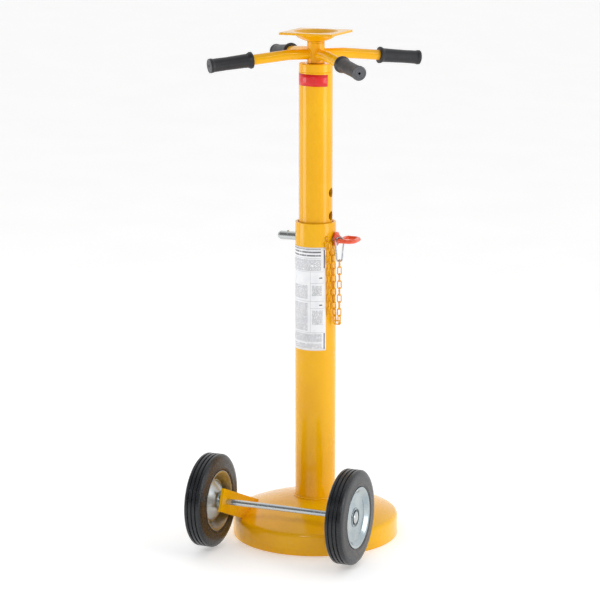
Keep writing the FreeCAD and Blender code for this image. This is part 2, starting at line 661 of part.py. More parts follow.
def build_hub():
    bore = S["screw_radius"] + S["weld_gap"]
    hub = turned("spinner_hub_blank", [
        (bore, HUB_LOW), (S["hub_radius"], HUB_LOW), (S["hub_radius"], HUB_TOP), (bore, HUB_TOP)],
        rounds=[(S["hub_radius"], HUB_LOW, S["hub_round"]), (S["hub_radius"], HUB_TOP, S["hub_round"])])
    keep(hub, "spinner_hub")


def spoke_way():
    """Unit vector of a spoke beyond its bend, in the plane of the spoke."""
    droop = math.radians(val("spoke_droop"))
    return FreeCAD.Vector(math.cos(droop), 0, -math.sin(droop))


def build_spokes_and_grips():
    knee = FreeCAD.Vector(val("spoke_knee"), 0, val("spoke_height"))
    way = spoke_way()
    reach = (val("grip_reach") - val("spoke_knee")) / way.x
    root = FreeCAD.Vector(0, 0, val("spoke_height"))
    end = knee + way * (reach - val("grip_floor") - val("weld_gap"))
    path = rounded_path([root, knee, end], val("spoke_bend"))
    tube_shape = rod_along(path, val("spoke_radius")).cut(
        rod_along(path, val("spoke_radius") - val("spoke_wall")))
    hub_room = Part.makeCylinder(val("hub_radius") + val("weld_gap"), 4 * val("spoke_radius"),
                                 root - FreeCAD.Vector(0, 0, 2 * val("spoke_radius")))
    tube_shape = tube_shape.cut(hub_room)
    grip_start = knee + way * (reach - val("grip_length"))
    for number in range(SPOKES):
        turn = S["spoke_turn"] + 360.0 / SPOKES * number
        spoke = shaped("spoke_%d" % (number + 1), tube_shape)
        keep(place(spoke, turn=((0, 0, 1), turn)), "spoke_%d" % (number + 1))
        grip = build_grip("grip_%d" % (number + 1))
        aim = FreeCAD.Rotation(FreeCAD.Vector(0, 0, 1), turn.value)
        lean = FreeCAD.Rotation(FreeCAD.Vector(0, 0, 1), way)
        grip.Placement = FreeCAD.Placement(aim.multVec(grip_start), aim.multiply(lean))
        keep(grip, "grip_%d" % (number + 1))


def build_grip(name):
    """A moulded rubber grip about Z: inner flange, waisted body, rounded end with a vent hole."""
    bore = S["spoke_radius"] + S["weld_gap"]
    length = S["grip_length"]
    floor = length - S["grip_floor"]
    flange, flange_thick, body = S["grip_flange"], S["grip_flange_thick"], S["grip_radius"]
    end_start = length - S["grip_end_length"]
    return turned(name, [
        (bore, 0.0), (flange, 0.0), (flange, flange_thick), (body, S["grip_waist"], S["grip_swell"]),
        (body, end_start - S["grip_end_flare"]), (S["grip_end"], end_start), (S["grip_end"], length),
        (S["grip_vent"], length), (S["grip_vent"], floor), (bore, floor)],
        rounds=[(flange, 0.0, S["grip_round"]), (flange, flange_thick, S["grip_round"]),
                (S["grip_end"], length, S["grip_round"]),
                (body, S["grip_waist"], S["grip_waist_round"])])


def build_head():
    """Thrust washer, swivelling plate with its dish, and the shoulder bolt that holds them."""
    bolt_bore = S["bolt_radius"] + S["bolt_play"]
    washer = ring("thrust_washer", bolt_bore, S["hub_radius"], WASHER_LOW, WASHER_TOP, S["washer_ease"])
    keep(washer, "thrust_washer")
    half = S["plate_half"]
    sheet = padded("plate_sheet", "XY_Plane", [(-half, -half), (half, -half), (half, half), (-half, half)],
                   S["plate_thick"], S["plate_corner"])
    under = S["plate_top"] - S["plate_thick"]
    place(sheet, z=under)
    mouth = cylinder("dish_mouth", S["dish_radius"], S["plate_thick"] * 2.0)
    place(mouth, z=under - S["plate_thick"] / 2.0)
    outer_floor = S["dish_floor_radius"]
    bend, rim = S["dish_radius"] * S["dish_curve"], S["dish_radius"] + S["dish_lap"]
    bowl = turned("dish_bowl", [
        (bolt_bore, DISH_LOW), (outer_floor, DISH_LOW, bend), (rim, under), (rim, S["plate_top"]),
        (S["dish_radius"] - S["dish_lip_width"], S["plate_top"] - S["dish_lip_depth"], -bend),
        (outer_floor - S["dish_floor_step"], DISH_FLOOR), (bolt_bore, DISH_FLOOR)])
    keep(fuse("top_plate", cut("plate_ring", sheet, mouth), bowl), "top_plate")
    head_seat = DISH_FLOOR + S["swivel_play"]
    keep(ring("swivel_washer", bolt_bore, S["bolt_washer_radius"], head_seat,
              head_seat + S["bolt_washer"]), "swivel_washer")
    build_bolt(head_seat + S["bolt_washer"] + S["weld_gap"])


def build_bolt(head_low):
    """The shoulder bolt: a hexagon head chamfered on top, a shoulder, and a threaded end."""
    head = doc.addObject("Part::Prism", "bolt_head")
    head.Polygon = 6
    bind(head, "Circumradius", S["bolt_head_flats"] / 2.0 / cos_of(Dim(30.0, "30")))
    bind(head, "Height", S["bolt_head"])
    place(head, z=head_low)
    blank, face = S["bolt_head_flats"] * S["bolt_head_blank"], S["bolt_head_flats"] * S["bolt_head_face"]
    head_top = head_low + S["bolt_head"]
    crown = turned("bolt_crown", [
        (0.0, head_low), (blank, head_low), (blank, head_top - S["bolt_head_slope"]),
        (face, head_top), (0.0, head_top)])
    trimmed = doc.addObject("Part::Common", "bolt_head_trimmed")
    trimmed.Base = head
    trimmed.Tool = crown
    shoulder_low = HUB_TOP + S["weld_gap"]
    tip = HUB_TOP - S["bolt_length"]
    ease = S["bolt_ease"]
    shank = turned("bolt_shank", [
        (0.0, tip), (S["bolt_thread"] - ease, tip), (S["bolt_thread"], tip + ease),
        (S["bolt_thread"], shoulder_low), (S["bolt_radius"], shoulder_low), (S["bolt_radius"], head_low),
        (0.0, head_low)])
    keep(fuse("swivel_bolt", trimmed, shank), "swivel_bolt")


# ---- locking pin: shank with a ball detent, coated handle, spring hook and chain ----

PIN_START = S["outer_radius"] + S["flange_gap"]
LOOP_NEAR = PIN_START + S["flange_thick"] + S["neck_length"]


def build_pin():
    """The pin along X, with the detent ball and its spring in a blind well near the tip."""
    ease = S["pin_tip_chamfer"]
    end = PIN_START + S["pin_socket"]
    shank = turned("pin_bar", [
        (0.0, -S["pin_tip"]), (S["pin_radius"] - ease, -S["pin_tip"]),
        (S["pin_radius"], -S["pin_tip"] + ease * S["pin_tip_slope"]), (S["pin_radius"], end), (0.0, end)])
    place(shank, z=PIN_HEIGHT, turn=ALONG_X)
    well_radius = S["ball_radius"] + S["weld_gap"]
    well = cylinder("ball_well", well_radius, S["ball_well"] + S["well_clear"])
    well_floor = PIN_HEIGHT + S["pin_radius"] - S["ball_well"]
    place(well, x=-S["ball_reach"], z=well_floor)
    keep(cut("pin_shank", shank, well), "pin_shank")
    ball = doc.addObject("Part::Sphere", "detent_ball")
    bind(ball, "Radius", S["ball_radius"])
    ball_height = PIN_HEIGHT + S["pin_radius"] + S["ball_rise"] - S["ball_radius"]
    keep(place(ball, x=-S["ball_reach"], z=ball_height), "detent_ball")
    build_detent_spring(well_floor.value, ball_height.value)


def build_detent_spring(floor, ball_height):
    """The coil spring between the well's floor and the ball."""
    wire, coil = val("spring_wire"), val("ball_radius") - val("spring_inset")
    low = floor + wire + val("spring_foot")
    high = ball_height - val("ball_radius") + val("spring_nest") - wire
    helix = Part.makeHelix((high - low) / val("spring_turns"), high - low, coil)
    section = Part.Wire(Part.Circle(FreeCAD.Vector(coil, 0, 0), FreeCAD.Vector(0, 1, 0), wire).toShape())
    spring = Part.Wire(helix.Edges).makePipeShell([section], True, True)
    spring.translate(FreeCAD.Vector(-val("ball_reach"), 0, low))
    keep(shaped("detent_spring", spring), "detent_spring")


def neck_profile(start, collar_end, near):
    """Half outline of collar and neck as (along, out): rounded collar, then a neck flared to the loop."""
    radius, bar, ease = val("flange_radius"), val("loop_bar"), val("collar_round")
    neck_start, neck_bend = collar_end + ease * 0.2, collar_end + ease * 1.9
    neck_radius = radius - ease * 1.2

    def at(along, out):
        return FreeCAD.Vector(along, out, 0)

    edges = [
        Part.LineSegment(at(start, 0), at(start, radius - ease)),
        Part.Arc(at(start, radius - ease), at(start + ease * 0.3, radius - ease * 0.3),
                 at(start + ease, radius)),
        Part.LineSegment(at(start + ease, radius), at(collar_end - ease, radius)),
        Part.Arc(at(collar_end - ease, radius), at(collar_end - ease * 0.2, radius - ease * 0.35),
                 at(neck_start, neck_radius)),
        Part.Arc(at(neck_start, neck_radius), at(neck_bend, bar * 1.5), at(near, bar - val("neck_step"))),
        Part.LineSegment(at(near, bar - val("neck_step")), at(near, 0)),
        Part.LineSegment(at(near, 0), at(start, 0))]
    return Part.Wire([edge.toShape() for edge in edges])


def build_handle():
    """Coated handle: a collar, a flared neck and a lying D-shaped loop."""
    start = PIN_START.value
    near, reach, half = LOOP_NEAR.value, val("loop_reach"), val("loop_half_width")
    bar = val("loop_bar")
    profile = neck_profile(start, start + val("flange_thick"), near)
    neck = Part.Face(profile).revolve(FreeCAD.Vector(), FreeCAD.Vector(1, 0, 0), 360.0)
    far, far_half = near + reach - bar, half * val("loop_taper")
    corners = [FreeCAD.Vector(near, -half, 0), FreeCAD.Vector(near, half, 0),
               FreeCAD.Vector(far, far_half, 0), FreeCAD.Vector(far, -far_half, 0)]
    bends = [val("loop_near_round")] * 2 + [val("loop_far_round")] * 2
    handle = neck.fuse(rod_along(rounded_path(corners, bends, closed=True), bar))
    socket = Part.makeCylinder(val("pin_radius") + val("weld_gap"), val("pin_socket") + val("weld_gap"),
                               FreeCAD.Vector(start, 0, 0), FreeCAD.Vector(1, 0, 0))
    handle = handle.cut(socket)
    handle.translate(FreeCAD.Vector(0, 0, PIN_HEIGHT.value))
    keep(shaped("pin_handle", handle), "pin_handle")


def hook_point(across, height):
    """A point in the spring hook's upright plane: across it, and at a height."""
    turn = math.radians(val("hook_turn"))
    return FreeCAD.Vector(LOOP_NEAR.value + across * math.cos(turn),
                          -val("hook_offset") + across * math.sin(turn), height)


HOOK_TOP = PIN_HEIGHT + S["loop_bar"] + S["hook_wire"] + S["hook_clear"]
HOOK_LOW = HOOK_TOP - S["hook_length"]


def build_spring_hook():
    """A wire spring hook: an open pear-shaped body and a sprung gate on its right side."""
    top_half, low_half, wire = val("hook_top_half"), val("hook_low_half"), val("hook_wire")
    top, low = HOOK_TOP.value, HOOK_LOW.value
    right_top, right_low = hook_point(top_half, top), hook_point(low_half, low)
    left_top, left_low = hook_point(-top_half, top), hook_point(-low_half, low)
    side = right_low - right_top
    gate_high, gate_low = right_top + side * val("gate_top"), right_top + side * val("gate_foot")
    way = (gate_low - gate_high).normalize()
    gap = way * val("gate_gap")
    low_bend, top_bend = low_half * val("hook_bend"), top_half * val("hook_bend")
    path = rounded_path([gate_low + gap, right_low, left_low, left_top, right_top, gate_high - gap],
                        [0.0, low_bend, low_bend, top_bend, top_bend, 0.0])
    keep(shaped("hook_body", rod_along(path, wire)), "hook_body")
    build_gate(gate_high, gate_low, way)


def build_gate(gate_high, gate_low, way):
    """The gate bar with a cross hole near its foot, and the rivet that it turns on."""
    turn = math.radians(val("hook_turn"))
    across = FreeCAD.Vector(-math.sin(turn), math.cos(turn), 0)
    rivet, reach, thick = val("rivet_radius"), val("rivet_reach"), val("rivet_head_thick")
    gate = Part.makeCylinder(val("hook_wire") * val("gate_wire"), (gate_low - gate_high).Length,
                             gate_high, way)
    pivot = gate_low - way * (val("hook_wire") + val("rivet_radius"))
    hole = Part.makeCylinder(rivet + val("rivet_play"), 4 * reach, pivot - across * (2 * reach), across)
    keep(shaped("hook_gate", gate.cut(hole)), "hook_gate")
    shank = Part.makeCylinder(rivet, 2 * reach, pivot - across * reach, across)
    heads = [Part.makeCylinder(val("rivet_head"), thick, pivot + across * (end * reach - thick / 2), across)
             for end in (-1.0, 1.0)]
    keep(shaped("gate_rivet", shank.multiFuse(heads)), "gate_rivet")


def build_anchor():
    """A wire eye standing upright on the lower column."""
    half, reach = val("anchor_half"), val("anchor_reach")
    start = val("outer_radius") - val("anchor_root")
    height = val("anchor_height")
    out = val("outer_radius") + reach - val("anchor_wire")
    path = rounded_path([FreeCAD.Vector(start, 0, height + half), FreeCAD.Vector(out, 0, height + half),
                         FreeCAD.Vector(out, 0, height - half), FreeCAD.Vector(start, 0, height - half)],
                        half * val("anchor_bend"))
    room_half = 2 * (half + reach)
    room = Part.makeCylinder(val("outer_radius") + val("film_gap"), 2 * room_half,
                             FreeCAD.Vector(0, 0, height - room_half))
    anchor = shaped("chain_anchor", rod_along(path, val("anchor_wire")).cut(room))
    keep(place(anchor, turn=((0, 0, 1), S["anchor_turn"])), "chain_anchor")


def column_point(turn, stand_off, height):
    """A point a little off the lower column, in a direction round it."""
    radius = val("outer_radius") + stand_off
    angle = math.radians(turn)
    return FreeCAD.Vector(radius * math.cos(angle), radius * math.sin(angle), height)


def link_shape():
    """One chain link lying along X, flat in XY, centred on the origin."""
    wire, half = val("link_wire"), val("link_half_width")
    run = val("link_inner") / 2 + wire - half
    corners = [FreeCAD.Vector(x, y, 0) for x, y in ((-run, -half), (run, -half), (run, half), (-run, half))]
    tips = [FreeCAD.Vector(run + half, 0, 0), FreeCAD.Vector(-run - half, 0, 0)]
    runs = [Part.LineSegment(corners[0], corners[1]), Part.Arc(corners[1], tips[0], corners[2]),
            Part.LineSegment(corners[2], corners[3]), Part.Arc(corners[3], tips[1], corners[0])]
    path = Part.Wire([run_edge.toShape() for run_edge in runs])
    return rod_along(path, wire)


def link_ends(route):
    """Evenly spaced points along a smooth route, near enough that no two links pull tight."""
    curve = Part.BSplineCurve()
    curve.interpolate(route)
    edge = curve.toShape()
    pitch = val("link_inner") - val("link_slack")
    return edge.discretize(Number=math.ceil(edge.Length / pitch) + 1)


def link_lean(number, count, fold):
    """Lean of a link, one way or the other by turns, eased to flat or upright where the chain folds."""
    lean = LINK_LEAN if (count - number) % 2 else -LINK_LEAN
    fold_lean = LINK_LEAN if (count - fold) % 2 else -LINK_LEAN
    away = max(abs(number - fold) - 1, 0)
    return lean - fold_lean * max(1.0 - away / LINKS_EASED, 0.0)


def hang_links(shape, ends, fold):
    """Place links from end to end; fold is the number of the link the chain doubles back on."""
    links = []
    for number in range(len(ends) - 1):
        way = (ends[number + 1] - ends[number]).normalize()
        middle = (ends[number] + ends[number + 1]) * 0.5
        out = FreeCAD.Vector(-middle.y, middle.x, 0)
        out = (out - way * out.dot(way)).normalize()
        side = out.cross(way)
        frame = FreeCAD.Matrix(way.x, side.x, out.x, middle.x, way.y, side.y, out.y, middle.y,
                               way.z, side.z, out.z, middle.z, 0, 0, 0, 1)
        lean = FreeCAD.Rotation(FreeCAD.Vector(1, 0, 0), link_lean(number, len(ends), fold))
        link = shape.copy()
        link.Placement = FreeCAD.Placement(frame).multiply(FreeCAD.Placement(FreeCAD.Vector(), lean))
        links.append(link)
    return links


def chain_route(start_turn, route):
    """Points of a chain run from the eye down the column."""
    turn, off = val("anchor_turn"), val("chain_off")
    start = val("anchor_height") - 2 * val("anchor_half")
    points = [column_point(turn + start_turn, off + START_OFF, start)]
    return points + [column_point(turn + step, off + further, height) for step, further, height in route]


def build_chain():
    """The tether: a run from the eye down the column and back up to the hook, and a spare tail."""
    low = val("chain_low")
    hook_low = hook_point(0.0, HOOK_LOW.value)
    up = [FreeCAD.Vector(hook_low.x - UP_ASIDE, hook_low.y + UP_BEHIND, low),
          FreeCAD.Vector(hook_low.x, hook_low.y, UP_MIDDLE),
          FreeCAD.Vector(hook_low.x, hook_low.y, hook_low.z + UP_BITE)]
    fold_link = val("link_inner") + 2 * (val("link_wire") - val("link_half_width") + val("link_nest"))
    towards = column_point(val("anchor_turn") + FOLD_TURN, val("chain_off"), low) - up[0]
    down = chain_route(DOWN_START, DOWN_ROUTE) + [up[0] + towards.normalize() * fold_link]
    tail = chain_route(TAIL_START, TAIL_ROUTE)
    shape = link_shape()
    down_ends = link_ends(down)
    links = hang_links(shape, down_ends + link_ends(up), len(down_ends) - 1)
    links += hang_links(shape, link_ends(tail), -LINKS_EASED - 2)
    keep(shaped("tether_chain", Part.makeCompound(links)), "tether_chain")


# ---- wheels: brackets, axle, bearings, pressed rims and solid tyres ----

AXLE_BACK = S["base_radius"] + S["axle_clear"]


def bracket(name, side):
    """A flat bar rising from the foot to the axle, cut to the crown it is welded on."""
    slope, width = S["bracket_rise"], S["bracket_width"]
    thick = S["bracket_thick"]
    bar = doc.addObject("Part::Box", name + "_bar")
    bind(bar, "Length", thick)
    bind(bar, "Width", S["bracket_length"])
    bind(bar, "Height", width)
    reach_y = -S["bracket_end"] * cos_of(slope) + width / 2.0 * sin_of(slope) * -1.0
    reach_z = S["bracket_end"] * sin_of(slope) - width / 2.0 * cos_of(slope)
    x = S["bracket_face"] if side > 0 else -S["bracket_face"] - thick
    place(bar, x=x, y=-AXLE_BACK + reach_y, z=S["axle_height"] + reach_z, turn=((-1, 0, 0), slope))
    corner, land = dome_outline(S["weld_gap"])
    under = -S["skirt_height"]
    room = turned(name + "_room", [
        (0.0, under), (S["base_radius"] + S["weld_gap"], under), corner,
        (land, S["dome_top"] + S["weld_gap"]), (0.0, S["dome_top"] + S["weld_gap"])],
        rounds=[(S["base_radius"] + S["weld_gap"], S["skirt_height"] + S["weld_gap"], S["shoulder_round"])])
    hole = cross_drill(name + "_drill", S["axle_radius"] + S["weld_gap"], S["axle_height"],
                       S["bracket_face"] + thick + S["drill_reach"])
    bind(hole, "Placement.Base.y", -AXLE_BACK)
    keep(cut(name, bar, room, hole), name)


def on_axle(piece, side, x):
    """Stand a piece that was turned about Z on the axle, its +Z pointing away from the middle."""
    turn = ALONG_X if side > 0 else AGAINST_X
    return place(piece, x=x * float(side), y=-AXLE_BACK, z=S["axle_height"], turn=turn)


def build_axle():
    """The axle rod, and the washer that stands between each bracket and wheel."""
    ease = S["axle_ease"]
    rod = turned("axle_rod", [
        (0.0, -S["axle_half"]), (S["axle_radius"] - ease, -S["axle_half"]),
        (S["axle_radius"], -S["axle_half"] + ease), (S["axle_radius"], S["axle_half"] - ease),
        (S["axle_radius"] - ease, S["axle_half"]), (0.0, S["axle_half"])])
    keep(place(rod, y=-AXLE_BACK, z=S["axle_height"], turn=ALONG_X), "axle_rod")
    washers = []
    for side in (-1, 1):
        name = "axle_washer_%s" % ("right" if side > 0 else "left")
        washer = ring(name, S["axle_radius"] + S["weld_gap"], S["axle_washer_radius"], 0.0,
                      S["axle_washer"])
        washers.append(on_axle(washer, side, S["bracket_face"] + S["bracket_thick"] + S["weld_gap"]))
    group = doc.addObject("Part::Compound", "axle_washers")
    group.Links = washers
    keep(group, "axle_washers")


def build_wheel(side):
    word = "right" if side > 0 else "left"
    middle = S["wheel_centre"]
    tyre = build_tyre("tyre_" + word)
    keep(on_axle(tyre, side, middle), "tyre_" + word)
    face_radius, disc_radius = S["lip_radius"] - S["face_step"], S["lip_radius"] - S["disc_step"]
    face = build_rim("rim_outer_" + word, face_radius, S["face_reach"], S["cone_radius"], S["face_reach"])
    keep(on_axle(face, side, middle), "rim_outer_" + word)
    back = build_rim("rim_inner_" + word, disc_radius, S["disc_reach"], S["cone_radius"], S["cone_reach"])
    keep(on_axle(back, -side, -middle), "rim_inner_" + word)
    hub = ring("hub_tube_" + word, S["hub_tube_radius"] - S["hub_tube_wall"], S["hub_tube_radius"],
               -S["hub_tube_in"], S["hub_tube_out"], 0.5)
    keep(on_axle(hub, side, middle), "hub_tube_" + word)
    bearings = []
    for place_word, low in (("out", S["hub_tube_out"] - S["bearing_inset"] - S["bearing_width"]),
                            ("in", -S["hub_tube_in"] + S["bearing_inner_inset"])):
        bearing = build_bearing("bearing_%s_%s" % (place_word, word), low)
        bearings.append(on_axle(bearing, side, middle))
    group = doc.addObject("Part::Compound", "wheel_bearings_" + word)
    group.Links = bearings
    keep(group, "wheel_bearings_" + word)
    keep(on_axle(build_axle_cap("axle_cap_" + word), side, middle), "axle_cap_" + word)


def build_axle_cap(name):
    """A domed push-on cap about Z: its blind bore holds the axle's end, its crown is part of a ball."""
    bore = S["axle_radius"] + S["weld_gap"]
    axle_end = S["axle_half"] - S["wheel_centre"]
    low, floor = axle_end - S["cap_grip"], axle_end + S["weld_gap"]
    edge = low + S["cap_edge"]
    radius, rise = S["cap_radius"], S["cap_crown"]
    ball = (radius * radius + rise * rise) / (rise * 2.0)
    return turned(name, [
        (bore, low), (radius, low), (radius, edge, ball), (0.0, edge + rise), (0.0, floor), (bore, floor)])


def build_tyre(name):
    """A solid ribbed tyre about Z that sits in the channel between the two rim halves."""
    half, radius = S["tyre_half"], S["tyre_radius"]
    deep, ease = radius - S["groove_depth"], S["groove_ease"]
    bead, bead_reach = S["lip_radius"] + S["bead_rise"], S["lip_reach"] - S["bead_inset"]
    seat, seat_reach = S["lip_radius"] - S["seat_drop"], S["lip_reach"] - S["seat_inset"]
    root, neck = S["lip_radius"] - S["disc_step"] + S["root_rise"], S["disc_reach"] + S["tyre_gap"]
    foot, wall = bead + S["wall_foot"], radius - S["wall_drop"]
    corner, corner_reach = radius - S["shoulder_drop"], half - S["shoulder_inset"]
    edge = half - S["shoulder_width"]
    outline = [(root, -neck), (seat, -seat_reach), (bead, -bead_reach), (foot, -half),
               (wall, -half, S["wall_curve"]), (corner, -corner_reach, S["tread_curve"]), (radius, -edge)]
    for number in (-1, 0, 1):
        low = S["groove_pitch"] * float(number) - S["groove_half"]
        high = low + S["groove_half"] * 2.0
        outline += [(radius, low - ease), (deep, low), (deep, high), (radius, high + ease)]
    outline += [(radius, edge, S["tread_curve"]), (corner, corner_reach, S["wall_curve"]), (wall, half),
                (foot, half), (bead, bead_reach), (seat, seat_reach), (root, neck)]
    return turned(name, outline)


def build_rim(name, disc, flat, top, boss):
    """One pressed half of the rim about Z: hub boss, disc, flared wall and rolled lip.

    The disc's edge is at radius disc and height flat; its inside edge is at radius top, height boss.
    """
    sheet = S["rim_sheet"]
    bore = S["hub_tube_radius"] + S["weld_gap"]
    lip, reach = S["lip_radius"], S["lip_reach"]
    front, edge = disc - sheet, lip + S["lip_edge"]
    return turned(name, [
        (bore, boss - sheet), (top, boss - sheet), (disc, flat - sheet),
        (lip - S["flare_back"], reach - sheet * 1.5), (lip, reach - sheet), (edge, reach - sheet * 0.3),
        (edge, reach), (lip - S["lip_crest"], reach + sheet * 0.2),
        (lip - S["flare_front"], reach - sheet * 0.75), (front, flat), (top, boss), (bore, boss)],
        rounds=[(front, flat, S["rim_bend"])])


def build_bearing(name, low):
    """A sealed bearing about Z: two rings with a sunken seal between them."""
    bore = S["axle_radius"] + S["axle_play"]
    outside = S["hub_tube_radius"] - S["hub_tube_wall"] - S["weld_gap"]
    high = low + S["bearing_width"]
    deep = S["seal_depth"]
    inner_ring, outer_ring = bore + S["inner_ring"], outside - S["outer_ring"]
    return turned(name, [
        (bore, low), (inner_ring, low), (inner_ring, low + deep), (outer_ring, low + deep),
        (outer_ring, low), (outside, low), (outside, high), (outer_ring, high), (outer_ring, high - deep),
        (inner_ring, high - deep), (inner_ring, high), (bore, high)])


def build_all():
    build_foot()
    build_columns()
    build_markings()
    build_lift_nut()
    build_screw()
    build_hub()
    build_spokes_and_grips()
    build_head()
    build_pin()
    build_handle()
    build_spring_hook()
    build_anchor()
    build_chain()
    bracket("wheel_bracket_left", -1)
    bracket("wheel_bracket_right", 1)
    build_axle()
    build_wheel(-1)
    build_wheel(1)


def check_document():
    """Stop if any object failed or any piece has no valid shape."""
    doc.recompute()
    failed = [obj.Name for obj in doc.Objects if "Invalid" in obj.State or "Error" in obj.State]
    if failed:
        raise RuntimeError("objects that failed: " + ", ".join(failed))
    for obj in nodes:
        if obj.Shape.isNull() or not obj.Shape.isValid() or obj.Shape.Volume <= 0.0:
            raise RuntimeError("no valid shape: " + obj.Label)


def write_pieces():
    os.makedirs("parts", exist_ok=True)
    for obj in nodes:
        obj.Shape.exportStep("parts/%s.step" % obj.Label)


build_all()
check_document()
write_pieces()
print("%d pieces written" % len(nodes))
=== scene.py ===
import math
import bpy
import bmesh
from mathutils import Matrix, Vector


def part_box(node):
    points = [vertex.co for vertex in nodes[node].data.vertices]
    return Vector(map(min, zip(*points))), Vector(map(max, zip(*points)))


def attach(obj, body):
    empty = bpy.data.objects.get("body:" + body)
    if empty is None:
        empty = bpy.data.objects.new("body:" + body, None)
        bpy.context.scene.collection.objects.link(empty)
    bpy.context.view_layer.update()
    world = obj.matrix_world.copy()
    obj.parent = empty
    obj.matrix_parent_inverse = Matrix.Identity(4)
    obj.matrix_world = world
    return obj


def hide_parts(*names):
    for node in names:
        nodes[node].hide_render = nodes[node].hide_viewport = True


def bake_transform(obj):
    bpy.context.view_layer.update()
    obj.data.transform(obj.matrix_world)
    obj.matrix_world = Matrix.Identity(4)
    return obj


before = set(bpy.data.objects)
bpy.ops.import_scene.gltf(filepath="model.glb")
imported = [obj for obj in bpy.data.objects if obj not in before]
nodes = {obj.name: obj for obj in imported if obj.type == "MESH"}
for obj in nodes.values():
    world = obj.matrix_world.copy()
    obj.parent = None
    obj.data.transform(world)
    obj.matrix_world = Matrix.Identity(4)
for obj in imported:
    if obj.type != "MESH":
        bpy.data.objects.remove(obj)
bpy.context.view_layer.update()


# ---- Foot ---------------------------------------------------------------------------------------
# A pressed steel dome with an upright skirt, closed underneath by a round plate. Both are powder
# coated safety yellow; the coat is glossy, faintly uneven, and dusty near the floor.

NEARLY_STRAIGHT = math.radians(179.9)


def rounded(corners, steps=6):
    """Points of a closed outline through (x, y, round) or (x, y, z, round) corners, rounded."""
    points = [Vector(corner[:-1]).to_3d() for corner in corners]
    count = len(points)
    line = []
    for index, corner in enumerate(corners):
        if corner[-1] <= 0:
            line.append(points[index])
            continue
        back = (points[index - 1] - points[index]).normalized()
        ahead = (points[(index + 1) % count] - points[index]).normalized()
        if back.angle(ahead) > NEARLY_STRAIGHT:
            line.append(points[index])
            continue
        half = back.angle(ahead) / 2
        centre = points[index] + (back + ahead).normalized() * (corner[-1] / math.sin(half))
        first = points[index] + back * (corner[-1] / math.tan(half)) - centre
        last = points[index] + ahead * (corner[-1] / math.tan(half)) - centre
        sweep = first.angle(last)
        for step in range(steps + 1):
            share = step / steps
            turned_by = math.sin((1 - share) * sweep) / math.sin(sweep)
            line.append(centre + first * turned_by + last * (math.sin(share * sweep) / math.sin(sweep)))
    return line


def arc(start, end, radius, steps):
    """Points of a bulging arc between two (radius, height) corners, both ends included."""
    a, b = Vector(start), Vector(end)
    chord = b - a
    rise = math.sqrt(radius * radius - (chord.length / 2) ** 2)
    centre = (a + b) / 2 + Vector((-chord.y, chord.x)).normalized() * rise
    first, last = a - centre, b - centre
    sweep = math.atan2(first.x * last.y - first.y * last.x, first.dot(last))
    return [centre + Matrix.Rotation(sweep * step / steps, 2) @ first for step in range(steps + 1)]


def new_piece(name, points, faces, material, smooth_below=35):
    """A mesh object at the origin, doubles merged, faces outwards, sharp only at real edges."""
    mesh = bpy.data.meshes.new(name)
    mesh.from_pydata([tuple(point) for point in points], [], faces)
    shape = bmesh.new()
    shape.from_mesh(mesh)
    bmesh.ops.remove_doubles(shape, verts=shape.verts, dist=1e-7)
    bmesh.ops.recalc_face_normals(shape, faces=shape.faces)
    shape.to_mesh(mesh)
    shape.free()
    mesh.polygons.foreach_set("use_smooth", [True] * len(mesh.polygons))
    mesh.set_sharp_from_angle(angle=math.radians(smooth_below))
    mesh.materials.append(material)
    piece = bpy.data.objects.new(name, mesh)
    bpy.context.scene.collection.objects.link(piece)
    return piece


def turned(name, outline, material, steps=96, stand=Matrix(), uneven=None):
    """A piece turned about Z from a closed (radius, height) outline, then stood where it belongs.

    uneven(angle, radius, height) may give a small change of radius for a seam or a ripple.
    """
    points, faces = [], []
    count = len(outline)
    for step in range(steps):
        angle = 2 * math.pi * step / steps
        for corner in outline:
            radius, height = max(corner[0], 0.0), corner[1]
            if uneven and radius > 0:
                radius += uneven(angle, radius, height)
            points.append(stand @ Vector((radius * math.cos(angle), radius * math.sin(angle), height)))
    for step in range(steps):
        here, there = step * count, (step + 1) % steps * count
        for index in range(count):
            after = (index + 1) % count
            if outline[index][0] > 1e-7 or outline[after][0] > 1e-7:
                faces.append((here + index, there + index, there + after, here + after))
    return new_piece(name, points, faces, material)


def finished(piece, slot, body, *stands_for):
    """Fix a piece to the body it moves with and hide the frame nodes it stands for; slot is not used."""
    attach(piece, body)
    if stands_for:
        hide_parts(*stands_for)
    return piece


def dress(material, *names):
    """Put a finish on frame nodes that are shown as they are."""
    for name in names:
        nodes[name].data.materials.clear()
        nodes[name].data.materials.append(material)


def colour(red, green, blue):
    """A display colour, 0 to 255, as the linear colour that a shader takes."""
    def linear(part):
        part /= 255
        return part / 12.92 if part <= 0.04045 else ((part + 0.055) / 1.055) ** 2.4
    return (linear(red), linear(green), linear(blue), 1.0)


def node(tree, kind, sockets=(), **settings):
    """Add a shader node, set it, feed its sockets, and return its first output."""
    made = tree.nodes.new("ShaderNode" + kind)
    for setting, value in settings.items():
        setattr(made, setting, value)
    for socket, value in dict(sockets).items():
        if isinstance(value, bpy.types.NodeSocket):
            tree.links.new(value, made.inputs[socket])
        else:
            made.inputs[socket].default_value = value
    return made.outputs[0]


def ramp(tree, factor, *stops):
    """A colour ramp over factor, from (position, colour or grey level) stops."""
    made = tree.nodes.new("ShaderNodeValToRGB")
    elements = made.color_ramp.elements
    while len(elements) < len(stops):
        elements.new(0.5)
    for element, (position, value) in zip(elements, stops):
        element.position = position
        element.color = value if isinstance(value, tuple) else (value, value, value, 1.0)
    tree.links.new(factor, made.inputs["Fac"])
    return made.outputs["Color"]


